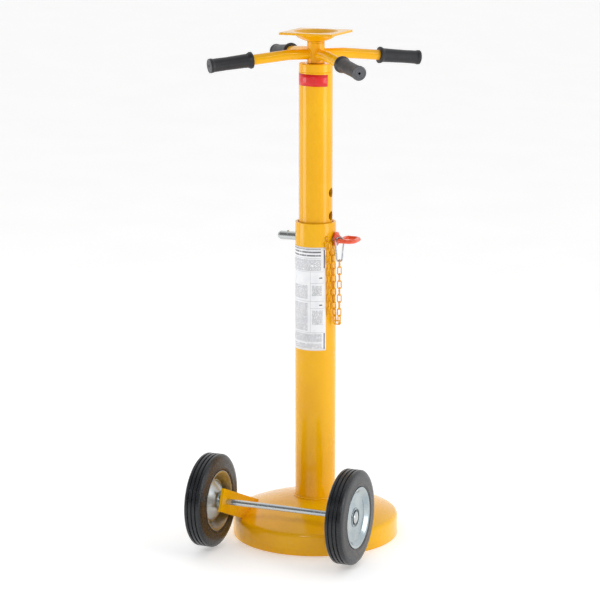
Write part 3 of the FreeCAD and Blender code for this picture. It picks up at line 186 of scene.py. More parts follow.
def new_finish(name, **shader_sockets):
    """A node material; returns it with its tree, its shader and object coordinates."""
    material = bpy.data.materials.new(name)
    material.use_nodes = True
    tree = material.node_tree
    shader = tree.nodes["Principled BSDF"]
    for socket, value in shader_sockets.items():
        shader.inputs[socket.replace("_", " ")].default_value = value
    where = tree.nodes.new("ShaderNodeTexCoord").outputs["Object"]
    return material, tree, shader, where


def noise(tree, where, scale, detail=3.0, roughness=0.55):
    return node(tree, "TexNoise", {"Vector": where, "Scale": scale, "Detail": detail, "Roughness": roughness})


def mixed(tree, factor, first, second, blend_type="MIX"):
    return node(tree, "MixRGB", {"Fac": factor, "Color1": first, "Color2": second}, blend_type=blend_type)


def bumped(tree, shader, height, distance):
    """Feed a height, in metres when multiplied by distance, to the shader's normal."""
    raised = node(tree, "Bump", {"Height": height, "Distance": distance, "Strength": 1.0})
    tree.links.new(raised, shader.inputs["Normal"])


def steered(tree, shader, socket, pattern, *stops):
    """Let a pattern steer one socket of the shader, through (position, colour or level) stops."""
    tree.links.new(ramp(tree, pattern, *stops), shader.inputs[socket])


def powder_coat(name, light, deep, dust_height=0.0):
    """Glossy yellow powder coat: orange peel, slow changes of tone, fine specks, dust low down."""
    material, tree, shader, where = new_finish(name, Specular_IOR_Level=0.15, Coat_Weight=0.4,
                                               Coat_Roughness=0.06)
    tone = ramp(tree, noise(tree, where, 9.0, 4.0), (0.32, deep), (0.7, light))
    specks = ramp(tree, noise(tree, where, 900.0, 2.0), (0.3, 0.9), (0.46, 1.0))
    base = mixed(tree, 0.5, tone, specks, "MULTIPLY")
    if dust_height:
        height = tree.nodes.new("ShaderNodeSeparateXYZ")
        tree.links.new(where, height.inputs[0])
        low_down = node(tree, "MapRange", {
            "Value": height.outputs["Z"], "From Min": dust_height, "From Max": 0.0})
        patches = ramp(tree, noise(tree, where, 110.0, 5.0), (0.42, 0.0), (0.72, 0.16))
        dusty = node(tree, "Math", {0: low_down, 1: patches}, operation="MULTIPLY")
        base = mixed(tree, dusty, base, colour(150, 130, 95))
    tree.links.new(base, shader.inputs["Base Color"])
    steered(tree, shader, "Roughness", noise(tree, where, 26.0, 4.0), (0.3, 0.2), (0.75, 0.32))
    bumped(tree, shader, noise(tree, where, 330.0, 1.5, 0.4), 0.00012)
    return material


YELLOW, DEEP_YELLOW = colour(245, 184, 1), colour(240, 173, 1)
coat = powder_coat("yellow_powder_coat", YELLOW, DEEP_YELLOW)
foot_coat = powder_coat("yellow_powder_coat_foot", YELLOW, DEEP_YELLOW, dust_height=0.05)

foot_radius, dome_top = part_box("base_dome")[1].x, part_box("base_dome")[1].z
column_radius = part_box("outer_column")[1].x
skirt_top, crown_radius, shoulder, sheet = 0.047, 0.560, 0.011, 0.005
collar = column_radius + 0.006
crown = arc((foot_radius, skirt_top), (collar, dome_top), crown_radius, 24)
under = arc((foot_radius - sheet, skirt_top - sheet), (collar, dome_top - sheet), crown_radius, 12)
hem = 0.0012
dome_outline = rounded(
    [(foot_radius - sheet, 0.0, hem), (foot_radius, 0.0, hem), (foot_radius, skirt_top, shoulder)]
    + [(point.x, point.y, 0.0) for point in crown[3:]]
    + [(column_radius + 0.0001, dome_top, 0.0), (column_radius + 0.0001, dome_top - sheet, 0.0)]
    + [(point.x, point.y, 0.0) for point in reversed(under)], steps=10)
finished(turned("foot_dome", dome_outline, foot_coat, steps=180), "yellow_powder_coat",
         "stand_base", "base_dome")
dress(foot_coat, "floor_plate")


# ---- Welds --------------------------------------------------------------------------------------
# Hand-laid weld beads, coated with everything else: one round the column's foot here, and one round
# the root of each spoke with the spinner. A bead is a row of ripples.

def new_tree(name, *inputs):
    """A geometry tree with a mesh input and output and named number inputs."""
    tree = bpy.data.node_groups.new(name, "GeometryNodeTree")
    tree.interface.new_socket("Geometry", in_out="INPUT", socket_type="NodeSocketGeometry")
    for label, kind in inputs:
        tree.interface.new_socket(label, in_out="INPUT", socket_type="NodeSocket" + kind)
    tree.interface.new_socket("Geometry", in_out="OUTPUT", socket_type="NodeSocketGeometry")
    return tree, tree.nodes.new("NodeGroupInput"), tree.nodes.new("NodeGroupOutput")


def step_in(tree, kind, sockets=(), **settings):
    """Add one step to a geometry tree and feed its sockets."""
    made = tree.nodes.new(kind)
    for setting, value in settings.items():
        setattr(made, setting, value)
    for socket, value in dict(sockets).items():
        if isinstance(value, bpy.types.NodeSocket):
            tree.links.new(value, made.inputs[socket])
        else:
            made.inputs[socket].default_value = value
    return made


def end_tree(tree, ending, geometry, material):
    """End a geometry tree as the finished mesh with its material."""
    real = step_in(tree, "GeometryNodeRealizeInstances", {"Geometry": geometry})
    dressed = step_in(tree, "GeometryNodeSetMaterial", {"Geometry": real.outputs[0], "Material": material})
    tree.links.new(dressed.outputs[0], ending.inputs[0])


def grown(name, tree, base_mesh, values, smooth_below=50):
    """Run a geometry tree on a base mesh and keep the result as a plain mesh."""
    base = bpy.data.objects.new(name + "_base", base_mesh)
    bpy.context.scene.collection.objects.link(base)
    modifier = base.modifiers.new(name, "NODES")
    modifier.node_group = tree
    sockets = {item.name: item.identifier for item in tree.interface.items_tree if item.in_out == "INPUT"}
    for label, value in values.items():
        modifier[sockets[label]] = value
    result = base.evaluated_get(bpy.context.evaluated_depsgraph_get())
    mesh = bpy.data.meshes.new_from_object(result)
    bpy.data.objects.remove(base)
    mesh.name = name
    mesh.polygons.foreach_set("use_smooth", [True] * len(mesh.polygons))
    mesh.set_sharp_from_angle(angle=math.radians(smooth_below))
    piece = bpy.data.objects.new(name, mesh)
    bpy.context.scene.collection.objects.link(piece)
    return piece


def line_mesh(name, points, closed):
    mesh = bpy.data.meshes.new(name)
    edges = [(index, index + 1) for index in range(len(points) - 1)]
    if closed:
        edges.append((len(points) - 1, 0))
    mesh.from_pydata([tuple(point) for point in points], edges, [])
    return mesh


def build_bead_tree(material):
    """A line becomes a round bead whose thickness swells once for each ripple."""
    tree, start, ending = new_tree("weld_bead", ("Radius", "Float"), ("Ripple", "Float"), ("Swell", "Float"))
    line = step_in(tree, "GeometryNodeMeshToCurve", {"Mesh": start.outputs["Geometry"]})
    spacing = step_in(tree, "ShaderNodeMath", {0: start.outputs["Ripple"], 1: 6.0}, operation="DIVIDE")
    fine = step_in(tree, "GeometryNodeResampleCurve", {
        "Curve": line.outputs[0], "Length": spacing.outputs[0]}, mode="LENGTH")
    along = step_in(tree, "GeometryNodeSplineParameter")
    turns = step_in(tree, "ShaderNodeMath", {
        0: along.outputs["Length"], 1: start.outputs["Ripple"]}, operation="DIVIDE")
    phase = step_in(tree, "ShaderNodeMath", {0: turns.outputs[0], 1: 2 * math.pi}, operation="MULTIPLY")
    wave = step_in(tree, "ShaderNodeMath", {0: phase.outputs[0]}, operation="SINE")
    swell = step_in(tree, "ShaderNodeMath", {
        0: wave.outputs[0], 1: start.outputs["Swell"], 2: 1.0}, operation="MULTIPLY_ADD")
    thick = step_in(tree, "GeometryNodeSetCurveRadius", {
        "Curve": fine.outputs[0], "Radius": swell.outputs[0]})
    section = step_in(tree, "GeometryNodeCurvePrimitiveCircle", {
        "Resolution": 10, "Radius": start.outputs["Radius"]})
    bead = step_in(tree, "GeometryNodeCurveToMesh", {
        "Curve": thick.outputs[0], "Profile Curve": section.outputs[0], "Fill Caps": True})
    end_tree(tree, ending, bead.outputs[0], material)
    return tree


bead_tree = build_bead_tree(coat)


def lay_bead(name, points, body, radius, stands_for=()):
    """Lay one closed weld bead along points and fix it to a body."""
    bead = grown(name, bead_tree, line_mesh(name, points, True), {
        "Radius": radius, "Ripple": radius * 1.7, "Swell": 0.1})
    return finished(bead, "yellow_powder_coat", body, *stands_for)


def ring_points(radius, height, count=240):
    angles = [2 * math.pi * step / count for step in range(count)]
    return [Vector((radius * math.cos(angle), radius * math.sin(angle), height)) for angle in angles]


foot_bead = 0.0027
lay_bead("column_foot_weld", ring_points(column_radius + 0.0012, dome_top + 0.0012), "stand_base",
         radius=foot_bead, stands_for=("column_weld",))


# ---- Columns ------------------------------------------------------------------------------------
# Two steel pipes, one telescoping in the other, cross-drilled for the locking pin and coated. The
# frame's pipes have the right holes and rims, so they keep their meshes and take the coat.

column_coat = powder_coat("yellow_powder_coat_columns", YELLOW, DEEP_YELLOW)
dress(column_coat, "outer_column", "inner_column", "lift_nut")


# ---- Instruction label --------------------------------------------------------------------------
# A white vinyl film wrapped round the lower column, printed in grey. Its print is only bars and
# rules: rows of dashes in panels, and two dark strips down its right edge. It carries no words.

def wrapped_film(name, radius, low, high, start, sweep, material, columns, rows):
    """A film wrapped round a column, with a UV map in metres round and up from its corner."""
    points, faces = [], []
    for row in range(rows + 1):
        height = low + (high - low) * row / rows
        for column in range(columns + 1):
            angle = start + sweep * column / columns
            points.append((radius * math.cos(angle), radius * math.sin(angle), height))
    across = columns + 1
    for row in range(rows):
        for column in range(columns):
            corner = row * across + column
            faces.append((corner, corner + 1, corner + across + 1, corner + across))
    film = new_piece(name, points, faces, material)
    layer = film.data.uv_layers.new(name="film")
    for loop in film.data.loops:
        place = film.data.vertices[loop.vertex_index].co
        turn = (math.atan2(place.y, place.x) - start) % (2 * math.pi)
        layer.data[loop.index].uv = (turn * radius, place.z - low)
    backing = film.modifiers.new("backing", "SOLIDIFY")
    backing.thickness = 0.00018
    backing.offset = -1.0
    return film


def film_place(tree):
    """The film's own coordinates: metres round it and metres up it."""
    split = tree.nodes.new("ShaderNodeSeparateXYZ")
    tree.links.new(node(tree, "UVMap", uv_map="film"), split.inputs[0])
    return split.outputs["X"], split.outputs["Y"]


def between(tree, value, low, high):
    """1 where value lies between low and high, else 0."""
    above = node(tree, "Math", {0: value, 1: low}, operation="GREATER_THAN")
    below = node(tree, "Math", {0: value, 1: high}, operation="LESS_THAN")
    return node(tree, "Math", {0: above, 1: below}, operation="MULTIPLY")


def patch(tree, u, v, left, low, right, high):
    across, up = between(tree, u, left, right), between(tree, v, low, high)
    return node(tree, "Math", {0: across, 1: up}, operation="MULTIPLY")


def dashes(tree, u, v, row_height, dash_length, fill):
    """Rows of uneven dashes: a band across each row, broken by a noise that changes from row to row."""
    rows = node(tree, "Math", {0: v, 1: row_height}, operation="DIVIDE")
    number = node(tree, "Math", {0: rows}, operation="FLOOR")
    within = node(tree, "Math", {0: rows}, operation="FRACT")
    band = between(tree, within, 0.25, 0.7)
    along = node(tree, "Math", {0: u, 1: dash_length}, operation="DIVIDE")
    jump = node(tree, "Math", {0: number, 1: 7.3}, operation="MULTIPLY")
    spot = node(tree, "CombineXYZ", {"X": along, "Y": jump})
    broken = node(tree, "TexNoise", {"Vector": spot, "Scale": 1.0, "Detail": 2.0})
    inked = node(tree, "Math", {0: broken, 1: fill}, operation="LESS_THAN")
    return node(tree, "Math", {0: band, 1: inked}, operation="MULTIPLY")


label_low, label_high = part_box("instruction_label")[0].z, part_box("instruction_label")[1].z
label_start, label_sweep = math.radians(-184.0), math.radians(146.5)
label_wide = (column_radius + 0.0002) * label_sweep
label_tall = label_high - label_low


def print_label():
    """Grey printing on white: heading rows, body rows in panels, rules, and two dark strips."""
    material, tree, shader, where = new_finish("printed_label_film", Roughness=0.42, Coat_Weight=0.2)
    u, v = film_place(tree)
    margin = 0.006
    body_rows = dashes(tree, u, v, 0.0023, 0.0012, 0.56)
    heading_rows = dashes(tree, u, v, 0.0074, 0.0022, 0.62)
    column_at = 0.69 * label_wide
    right = label_wide - margin
    panels = [
        (heading_rows, (margin, 0.895, right - 0.006, 0.985), 0.35),
        (body_rows, (margin, 0.775, column_at + 0.024, 0.885), 0.62),
        (body_rows, (margin, 0.50, column_at - 0.006, 0.635), 0.72),
        (body_rows, (column_at + 0.004, 0.535, right - 0.004, 0.635), 0.6),
        (body_rows, (margin, 0.19, column_at - 0.006, 0.46), 0.72),
        (body_rows, (column_at + 0.004, 0.255, right - 0.002, 0.395), 0.6),
        (body_rows, (margin, 0.085, right - 0.004, 0.165), 0.55),
        (body_rows, (margin, 0.022, right - 0.004, 0.072), 0.6)]
    base = ramp(tree, noise(tree, where, 60.0, 2.0), (0.3, colour(232, 234, 238)),
                (0.7, colour(243, 244, 246)))
    for rows, (left, low, edge, high), grey in panels:
        area = patch(tree, u, v, left, low * label_tall, edge, high * label_tall)
        inked = node(tree, "Math", {0: rows, 1: area}, operation="MULTIPLY")
        base = mixed(tree, inked, base, (grey * 0.42, grey * 0.42, grey * 0.45, 1.0))
    rule = 0.0005
    rules = [(margin, 0.765, right), (column_at, 0.655, right), (margin, 0.48, right),
             (margin, 0.175, right), (column_at, 0.41, right)]
    for left, height, edge in rules:
        line = patch(tree, u, v, left, height * label_tall, edge, height * label_tall + rule)
        base = mixed(tree, line, base, colour(150, 152, 158))
    upright = patch(tree, u, v, column_at, 0.175 * label_tall, column_at + rule, 0.765 * label_tall)
    base = mixed(tree, upright, base, colour(165, 167, 172))
    strip_left = label_wide - margin + 0.0005
    for low, high in ((0.80, 0.975), (0.012, 0.17)):
        strip = patch(tree, u, v, strip_left, low * label_tall, strip_left + 0.0026, high * label_tall)
        base = mixed(tree, strip, base, colour(48, 52, 84))
    for low, high in ((0.70, 0.712), (0.437, 0.449)):
        mark = patch(tree, u, v, right - 0.0095, low * label_tall, right - 0.003, high * label_tall)
        base = mixed(tree, mark, base, colour(60, 62, 70))
    tree.links.new(base, shader.inputs["Base Color"])
    bumped(tree, shader, noise(tree, where, 240.0, 2.0), 0.00004)
    return material


label = wrapped_film("label_film", column_radius + 0.0002, label_low, label_high, label_start, label_sweep,
                     print_label(), 72, 24)
finished(label, "label_film", "stand_base", "instruction_label")


# ---- Reflective tape ----------------------------------------------------------------------------
# A band of red reflective tape near the top of the upper column, stuck on a little askew. It has the
# fine honeycomb of cells that such tape has, under a clear glossy face.

def cell_tape():
    material, tree, shader, where = new_finish("red_reflective_tape", Specular_IOR_Level=0.3,
                                               Coat_Weight=0.4, Coat_Roughness=0.06)
    film = node(tree, "UVMap", uv_map="film")
    cells = tree.nodes.new("ShaderNodeTexVoronoi")
    cells.feature = "DISTANCE_TO_EDGE"
    cells.inputs["Scale"].default_value = 420.0
    cells.inputs["Randomness"].default_value = 0.12
    tree.links.new(film, cells.inputs["Vector"])
    walls = ramp(tree, cells.outputs["Distance"], (0.04, 1.0), (0.1, 0.0))
    tone = ramp(tree, noise(tree, where, 45.0, 3.0), (0.3, colour(204, 8, 14)), (0.7, colour(220, 16, 20)))
    base = mixed(tree, walls, tone, colour(232, 52, 48))
    tree.links.new(base, shader.inputs["Base Color"])
    shader.inputs["Roughness"].default_value = 0.3
    bumped(tree, shader, walls, 0.00005)
    return material


inner_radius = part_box("inner_column")[1].x
tape_low, tape_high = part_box("reflective_tape")[0].z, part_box("reflective_tape")[1].z
tape = wrapped_film("tape_band", inner_radius + 0.0002, tape_low, tape_high, math.radians(-244.0),
                    math.radians(220.0), cell_tape(), 96, 3)
tape_askew = 0.03
for corner in tape.data.vertices:
    corner.co.z -= tape_askew * corner.co.x
finished(tape, "red_tape", "upper_column", "reflective_tape")


# ---- Lift screw ---------------------------------------------------------------------------------
# A machined trapezoidal screw, oiled, that the spinner turns in the nut at the column's top. Its
# thread is one real right-hand helix on a round core, so it stays in step with its nut.

def oiled_steel():
    material, tree, shader, where = new_finish("oiled_screw_steel", Metallic=1.0)
    turning = node(tree, "Mapping", {"Vector": where, "Scale": (30.0, 30.0, 2400.0)})
    marks = noise(tree, turning, 1.0, 3.0)
    steered(tree, shader, "Base Color", marks, (0.3, colour(96, 94, 90)), (0.7, colour(128, 126, 121)))
    steered(tree, shader, "Roughness", noise(tree, where, 90.0, 4.0), (0.35, 0.22), (0.7, 0.45))
    bumped(tree, shader, marks, 0.00001)
    return material


def build_thread_tree(material):
    """A helix with a trapezoidal section: the thread's one ridge."""
    tree, start, ending = new_tree("screw_thread", ("Core radius", "Float"), ("Length", "Float"),
                                   ("Turns", "Float"), ("Ridge depth", "Float"), ("Ridge root", "Float"),
                                   ("Ridge crest", "Float"))
    helix = step_in(tree, "GeometryNodeCurveSpiral", {
        "Resolution": 40, "Rotations": start.outputs["Turns"], "Start Radius": start.outputs["Core radius"],
        "End Radius": start.outputs["Core radius"], "Height": start.outputs["Length"]})
    upright = step_in(tree, "GeometryNodeSetCurveNormal", {"Curve": helix.outputs[0]}, mode="Z_UP")
    section = step_in(tree, "GeometryNodeCurvePrimitiveQuadrilateral", {
        "Bottom Width": start.outputs["Ridge root"], "Top Width": start.outputs["Ridge crest"],
        "Height": start.outputs["Ridge depth"], "Offset": 0.0}, mode="TRAPEZOID")
    stood = step_in(tree, "GeometryNodeTransform", {
        "Geometry": section.outputs[0], "Rotation": (0.0, 0.0, math.pi / 2)})
    ridge = step_in(tree, "GeometryNodeCurveToMesh", {
        "Curve": upright.outputs[0], "Profile Curve": stood.outputs[0], "Fill Caps": True})
    end_tree(tree, ending, ridge.outputs[0], material)
    return tree


screw_low, screw_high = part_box("lift_screw")[0].z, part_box("lift_screw")[1].z
screw_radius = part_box("lift_screw")[1].x
thread_pitch, thread_depth, thread_end = 0.00635, 0.0032, 0.0495
screw_steel = oiled_steel()
bolt_hole, bolt_depth = 0.0061, 0.034
core_radius = screw_radius - thread_depth
core_outline = rounded([
    (0.0, screw_low, 0.0), (core_radius, screw_low, 0.0008), (core_radius, screw_high - thread_end, 0.0),
    (screw_radius, screw_high - thread_end + 0.003, 0.0), (screw_radius, screw_high, 0.0005),
    (bolt_hole, screw_high, 0.0), (bolt_hole, screw_high - bolt_depth, 0.0),
    (0.0, screw_high - bolt_depth, 0.0)])
finished(turned("screw_core", core_outline, screw_steel, steps=64), "oiled_screw_steel",
         "spinner", "lift_screw")
thread_turns = math.floor((screw_high - thread_end - screw_low) / thread_pitch) - 1
thread = grown("screw_thread", build_thread_tree(screw_steel), line_mesh("screw_thread", [Vector()], False), {
    "Core radius": core_radius + thread_depth / 2 - 0.0001, "Length": thread_turns * thread_pitch,
    "Turns": float(thread_turns), "Ridge depth": thread_depth - 0.0002, "Ridge root": thread_pitch * 0.6,
    "Ridge crest": thread_pitch * 0.36})
thread.data.transform(Matrix.Translation((0.0, 0.0, screw_low + thread_pitch * 0.75)))
finished(thread, "oiled_screw_steel", "spinner")


# ---- Spinner ------------------------------------------------------------------------------------
# A coated hub pressed on the screw's plain top, with four bent steel tubes welded to it. Each weld
# is a bead that follows the saddle line where the tube meets the hub.

dress(coat, "spinner_hub", "spoke_1", "spoke_2", "spoke_3", "spoke_4")
hub_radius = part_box("spinner_hub")[1].x
spoke_radius, spoke_height, spoke_count = 0.0111, 1.067, 4
first_spoke = math.radians(43.85)


def saddle(turn, grow):
    """The line where a round spoke meets the round hub, moved a little out of both."""
    points = []
    for step in range(96):
        angle = 2 * math.pi * step / 96
        side = (spoke_radius + grow) * math.cos(angle)
        along = math.sqrt((hub_radius + grow) ** 2 - side ** 2)
        points.append(Matrix.Rotation(turn, 3, "Z") @ Vector((
            along, side, spoke_height + (spoke_radius + grow) * math.sin(angle))))
    return points


for number in range(spoke_count):
    lay_bead("spoke_root_weld_%d" % (number + 1), saddle(first_spoke + math.pi / 2 * number, 0.0003),
             "spinner", radius=0.0015)


# ---- Grips --------------------------------------------------------------------------------------
# Moulded black rubber sleeves pushed on the spokes: a round flange at the inner end, a waisted body
# with a fine grain and two parting lines, and a ribbed end with a vent hole.

def moulded_rubber(name, dark, pale, grain, sheen, smooth=0.38, dull=0.52):
    """Moulded rubber: fine grain, slow changes of tone and gloss, a faint bloom at grazing angles."""
    material, tree, shader, where = new_finish(name, Specular_IOR_Level=0.45, Sheen_Weight=sheen,
                                               Sheen_Roughness=0.4)
    steered(tree, shader, "Base Color", noise(tree, where, 38.0, 5.0), (0.35, dark), (0.75, pale))
    steered(tree, shader, "Roughness", noise(tree, where, 120.0, 3.0), (0.3, smooth), (0.7, dull))
    bumped(tree, shader, noise(tree, where, grain, 2.0), 0.00006)
    return material


grip_rubber = moulded_rubber("black_grip_rubber", colour(24, 25, 29), colour(33, 34, 39), 1500.0, 0.02)
# A paler grey for the grip ends: painted reflection of the white surroundings on their end faces.
pale_end_reflection_paint = moulded_rubber("worn_grip_end", colour(78, 79, 83), colour(96, 97, 101), 1500.0, 0.05)
droop, knee_reach, grip_reach, grip_length = math.radians(5.4), 0.063, 0.2423, 0.0967
flange, body, tip, vent = 0.0179, 0.0143, 0.0155, 0.0028
grip_outline = rounded([
    (spoke_radius + 0.0001, 0.0, 0.0), (flange, 0.0, 0.0014), (flange, 0.0046, 0.0022),
    (body + 0.0006, 0.0105, 0.006), (body + 0.0001, 0.030, 0.05), (body - 0.0004, 0.060, 0.05),
    (body, grip_length - 0.010, 0.003), (tip, grip_length - 0.0056, 0.0012), (tip, grip_length, 0.0012),
    (0.0118, grip_length, 0.0003), (0.0112, grip_length - 0.0007, 0.0003),
    (0.0098, grip_length - 0.0007, 0.0003), (0.0092, grip_length, 0.0003),
    (0.0068, grip_length, 0.0003), (0.0062, grip_length - 0.0006, 0.0003),
    (0.0052, grip_length - 0.0006, 0.0003), (0.0046, grip_length, 0.0003),
    (vent, grip_length, 0.0004), (vent, grip_length - 0.005, 0.0),
    (spoke_radius + 0.0001, grip_length - 0.005, 0.0)], steps=5)


def parting_lines(angle, radius, height):
    """Two fine raised lines along the grip, where the mould's halves met."""
    near = abs(math.sin(angle))
    return 0.00018 * math.exp(-(near / 0.03) ** 2) if radius > body - 0.001 else 0.0


knee = Vector((knee_reach, 0.0, spoke_height))
way = Vector((math.cos(droop), 0.0, -math.sin(droop)))
grip_start = knee + way * ((grip_reach - knee_reach) / math.cos(droop) - grip_length)
for number in range(spoke_count):
    aim = Matrix.Rotation(first_spoke + math.pi / 2 * number, 4, "Z")
    lean = Matrix.Rotation(math.pi / 2 + droop, 4, "Y")
    stand = aim @ Matrix.Translation(grip_start) @ lean
    grip = turned("hand_grip_%d" % (number + 1), grip_outline, grip_rubber, steps=128, stand=stand,
                  uneven=parting_lines)
    grip.data.materials.append(pale_end_reflection_paint)
    # The faces at the very end take the paler grey, the painted reflection.
    for face in grip.data.polygons:
        if (stand.inverted() @ face.center).z > grip_length - 0.0013:
            face.material_index = 1
    finished(grip, "grip_rubber", "spinner", "grip_%d" % (number + 1))


# ---- Head ---------------------------------------------------------------------------------------
# The square plate that bears on the trailer, with its pressed dish, turns on a shoulder bolt over a
# thrust washer. Plate and thrust washer are coated; the bolt and its washer are bright zinc.

def zinc_plate(name, cool, warm, brushed=0.0):
    """Bright zinc: cool metal with faint straw and blue bloom, fine crystals and handling marks."""
    material, tree, shader, where = new_finish(name, Metallic=1.0)
    bloom = ramp(tree, noise(tree, where, 22.0, 3.0), (0.36, cool), (0.7, warm))
    crystals = ramp(tree, noise(tree, where, 650.0, 2.0), (0.3, 0.86), (0.65, 1.0))
    base = mixed(tree, 0.6, bloom, crystals, "MULTIPLY")
    tree.links.new(base, shader.inputs["Base Color"])
    steered(tree, shader, "Roughness", noise(tree, where, 160.0, 4.0), (0.3, 0.16 + brushed),
            (0.7, 0.3 + brushed))
    bumped(tree, shader, noise(tree, where, 420.0, 3.0), 0.00002)
    return material


zinc = zinc_plate("bright_zinc", colour(190, 199, 205), colour(206, 207, 200))
plate_coat = powder_coat("yellow_powder_coat_plate", YELLOW, DEEP_YELLOW)
dress(plate_coat, "top_plate", "thrust_washer")
dress(zinc, "swivel_washer", "swivel_bolt")


# ---- Locking pin --------------------------------------------------------------------------------
# A zinc-plated pin through both columns, held by a sprung ball near its tip. Its handle is a steel
# loop dipped in orange-red vinyl, thick and rounded where the loop grows out of the collar.

dress(zinc, "pin_shank", "detent_ball")


def dipped_vinyl():
    material, tree, shader, where = new_finish("orange_red_vinyl", Coat_Weight=0.5, Coat_Roughness=0.08,
                                               Subsurface_Weight=0.08, Subsurface_Scale=0.004)
    steered(tree, shader, "Base Color", noise(tree, where, 70.0, 3.0), (0.3, colour(226, 72, 34)),
            (0.72, colour(238, 92, 50)))
    steered(tree, shader, "Roughness", noise(tree, where, 200.0, 3.0), (0.3, 0.24), (0.7, 0.36))
    bumped(tree, shader, noise(tree, where, 260.0, 2.0), 0.0001)
    return material


def rod_mesh(path, radius, sides, closed, points, faces):
    """Add a round rod along a path to a list of points and faces."""
    first = len(points)
    count = len(path)
    side = None
    for index, point in enumerate(path):
        before = path[index - 1] if closed or index else path[0]
        after = path[(index + 1) % count] if closed or index < count - 1 else path[-1]
        way_here = (after - before).normalized()
        if side is None:
            side = way_here.orthogonal().normalized()
        side = (side - way_here * side.dot(way_here)).normalized()
        other = way_here.cross(side)
        for step in range(sides):
            angle = 2 * math.pi * step / sides
            points.append(point + (side * math.cos(angle) + other * math.sin(angle)) * radius)
    rings = count if closed else count - 1
    for index in range(rings):
        here, there = first + index * sides, first + (index + 1) % count * sides
        for step in range(sides):
            after = (step + 1) % sides
            faces.append((here + step, here + after, there + after, there + step))
    if not closed:
        faces.append(tuple(first + step for step in range(sides))[::-1])
        faces.append(tuple(first + (count - 1) * sides + step for step in range(sides)))


def dipped(name, piece, voxel, rounds):
    """Melt the overlapping parts of a piece into one skin, as a dipped coat does."""
    melt = piece.modifiers.new("melt", "REMESH")
    melt.mode, melt.voxel_size = "VOXEL", voxel
    even = piece.modifiers.new("even", "SMOOTH")
    even.factor, even.iterations = 0.5, rounds
    result = piece.evaluated_get(bpy.context.evaluated_depsgraph_get())
    mesh = bpy.data.meshes.new_from_object(result)
    mesh.name = name
    mesh.polygons.foreach_set("use_smooth", [True] * len(mesh.polygons))
    melted = bpy.data.objects.new(name, mesh)
    bpy.context.scene.collection.objects.link(melted)
    bpy.data.objects.remove(piece)
    return melted


handle_low, handle_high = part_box("pin_handle")
pin_height = (handle_low.z + handle_high.z) / 2
bar = 0.0045
loop_near = handle_low.x + 0.016
loop_far, loop_half = handle_high.x - bar, handle_high.y - bar
loop_path = rounded([
    (loop_near, -loop_half, pin_height, 0.0065), (loop_near, loop_half, pin_height, 0.0065),
    (loop_far, loop_half * 0.9, pin_height, 0.015),
    (loop_far, -loop_half * 0.9, pin_height, 0.015)], steps=12)
collar_outline = [(0.0, 0.0), (0.0145, 0.0), (0.0157, 0.0008), (0.016, 0.002), (0.0158, 0.0038),
                  (0.0145, 0.0052), (0.0112, 0.0068), (0.0085, 0.0092), (0.0065, 0.0124), (0.0052, 0.016),
                  (0.0, 0.017)]
along_x = Matrix.Rotation(math.pi / 2, 4, "Y")
handle_stand = Matrix.Translation((handle_low.x, 0.0, pin_height)) @ along_x
handle = turned("pull_handle_blank", collar_outline, dipped_vinyl(), steps=64, stand=handle_stand)
loop_points, loop_faces = [], []
rod_mesh(loop_path, bar, 24, True, loop_points, loop_faces)
loop = new_piece("pull_loop_blank", loop_points, loop_faces, handle.data.materials[0])
joined = bmesh.new()
joined.from_mesh(handle.data)
joined.from_mesh(loop.data)
joined.to_mesh(handle.data)
joined.free()
bpy.data.objects.remove(loop)
handle = dipped("pull_handle", handle, 0.0007, 4)
finished(handle, "orange_red_coating", "locking_pin", "pin_handle")


# ---- Spring hook --------------------------------------------------------------------------------
# A plated wire hook hung on the handle's loop, pear-shaped, with a short sprung gate on its right
# side that turns on a rivet. It carries the end of the chain.

def plated_wire():
    material, tree, shader, where = new_finish("plated_wire_steel", Metallic=1.0)
    steered(tree, shader, "Base Color", noise(tree, where, 160.0, 3.0), (0.3, colour(150, 155, 162)),
            (0.7, colour(196, 199, 203)))
    steered(tree, shader, "Roughness", noise(tree, where, 500.0, 2.0), (0.3, 0.14), (0.7, 0.3))
    bumped(tree, shader, noise(tree, where, 900.0, 2.0), 0.00001)
    return material


wire_steel = plated_wire()
dress(wire_steel, "hook_body", "hook_gate", "gate_rivet", "detent_spring")


# ---- Tether chain -------------------------------------------------------------------------------
# A light steel chain, coated yellow, from an eye on the lower column down and back up to the hook,
# with a spare tail beside it. Each link is a closed stadium of round wire, leaned against the next.

dress(coat, "chain_anchor")
link_half_width, link_straight, link_wire = 0.0041, 0.0049, 0.00132


def stadium(turn_steps=8):
    """Middle line of one link lying along X, flat in XY."""
    points = []
    for middle, first in ((link_straight, -math.pi / 2), (-link_straight, math.pi / 2)):
        for step in range(turn_steps + 1):
            angle = first + math.pi * step / turn_steps
            points.append(Vector((middle + link_half_width * math.cos(angle),
                                  link_half_width * math.sin(angle), 0.0)))
    return points


def build_chain_tree(material, link):
    """A link on every point, turned to the point's own way and leaned by its own angle."""
    tree, start, ending = new_tree("chain_of_links", ("Link scale", "Float"))
    turn = step_in(tree, "GeometryNodeInputNamedAttribute", {"Name": "turn"}, data_type="FLOAT_VECTOR")
    shape = step_in(tree, "GeometryNodeObjectInfo", {"Object": link})
    hung = step_in(tree, "GeometryNodeInstanceOnPoints", {
        "Points": start.outputs["Geometry"], "Instance": shape.outputs["Geometry"],
        "Rotation": turn.outputs["Attribute"], "Scale": start.outputs["Link scale"]})
    end_tree(tree, ending, hung.outputs[0], material)
    return tree


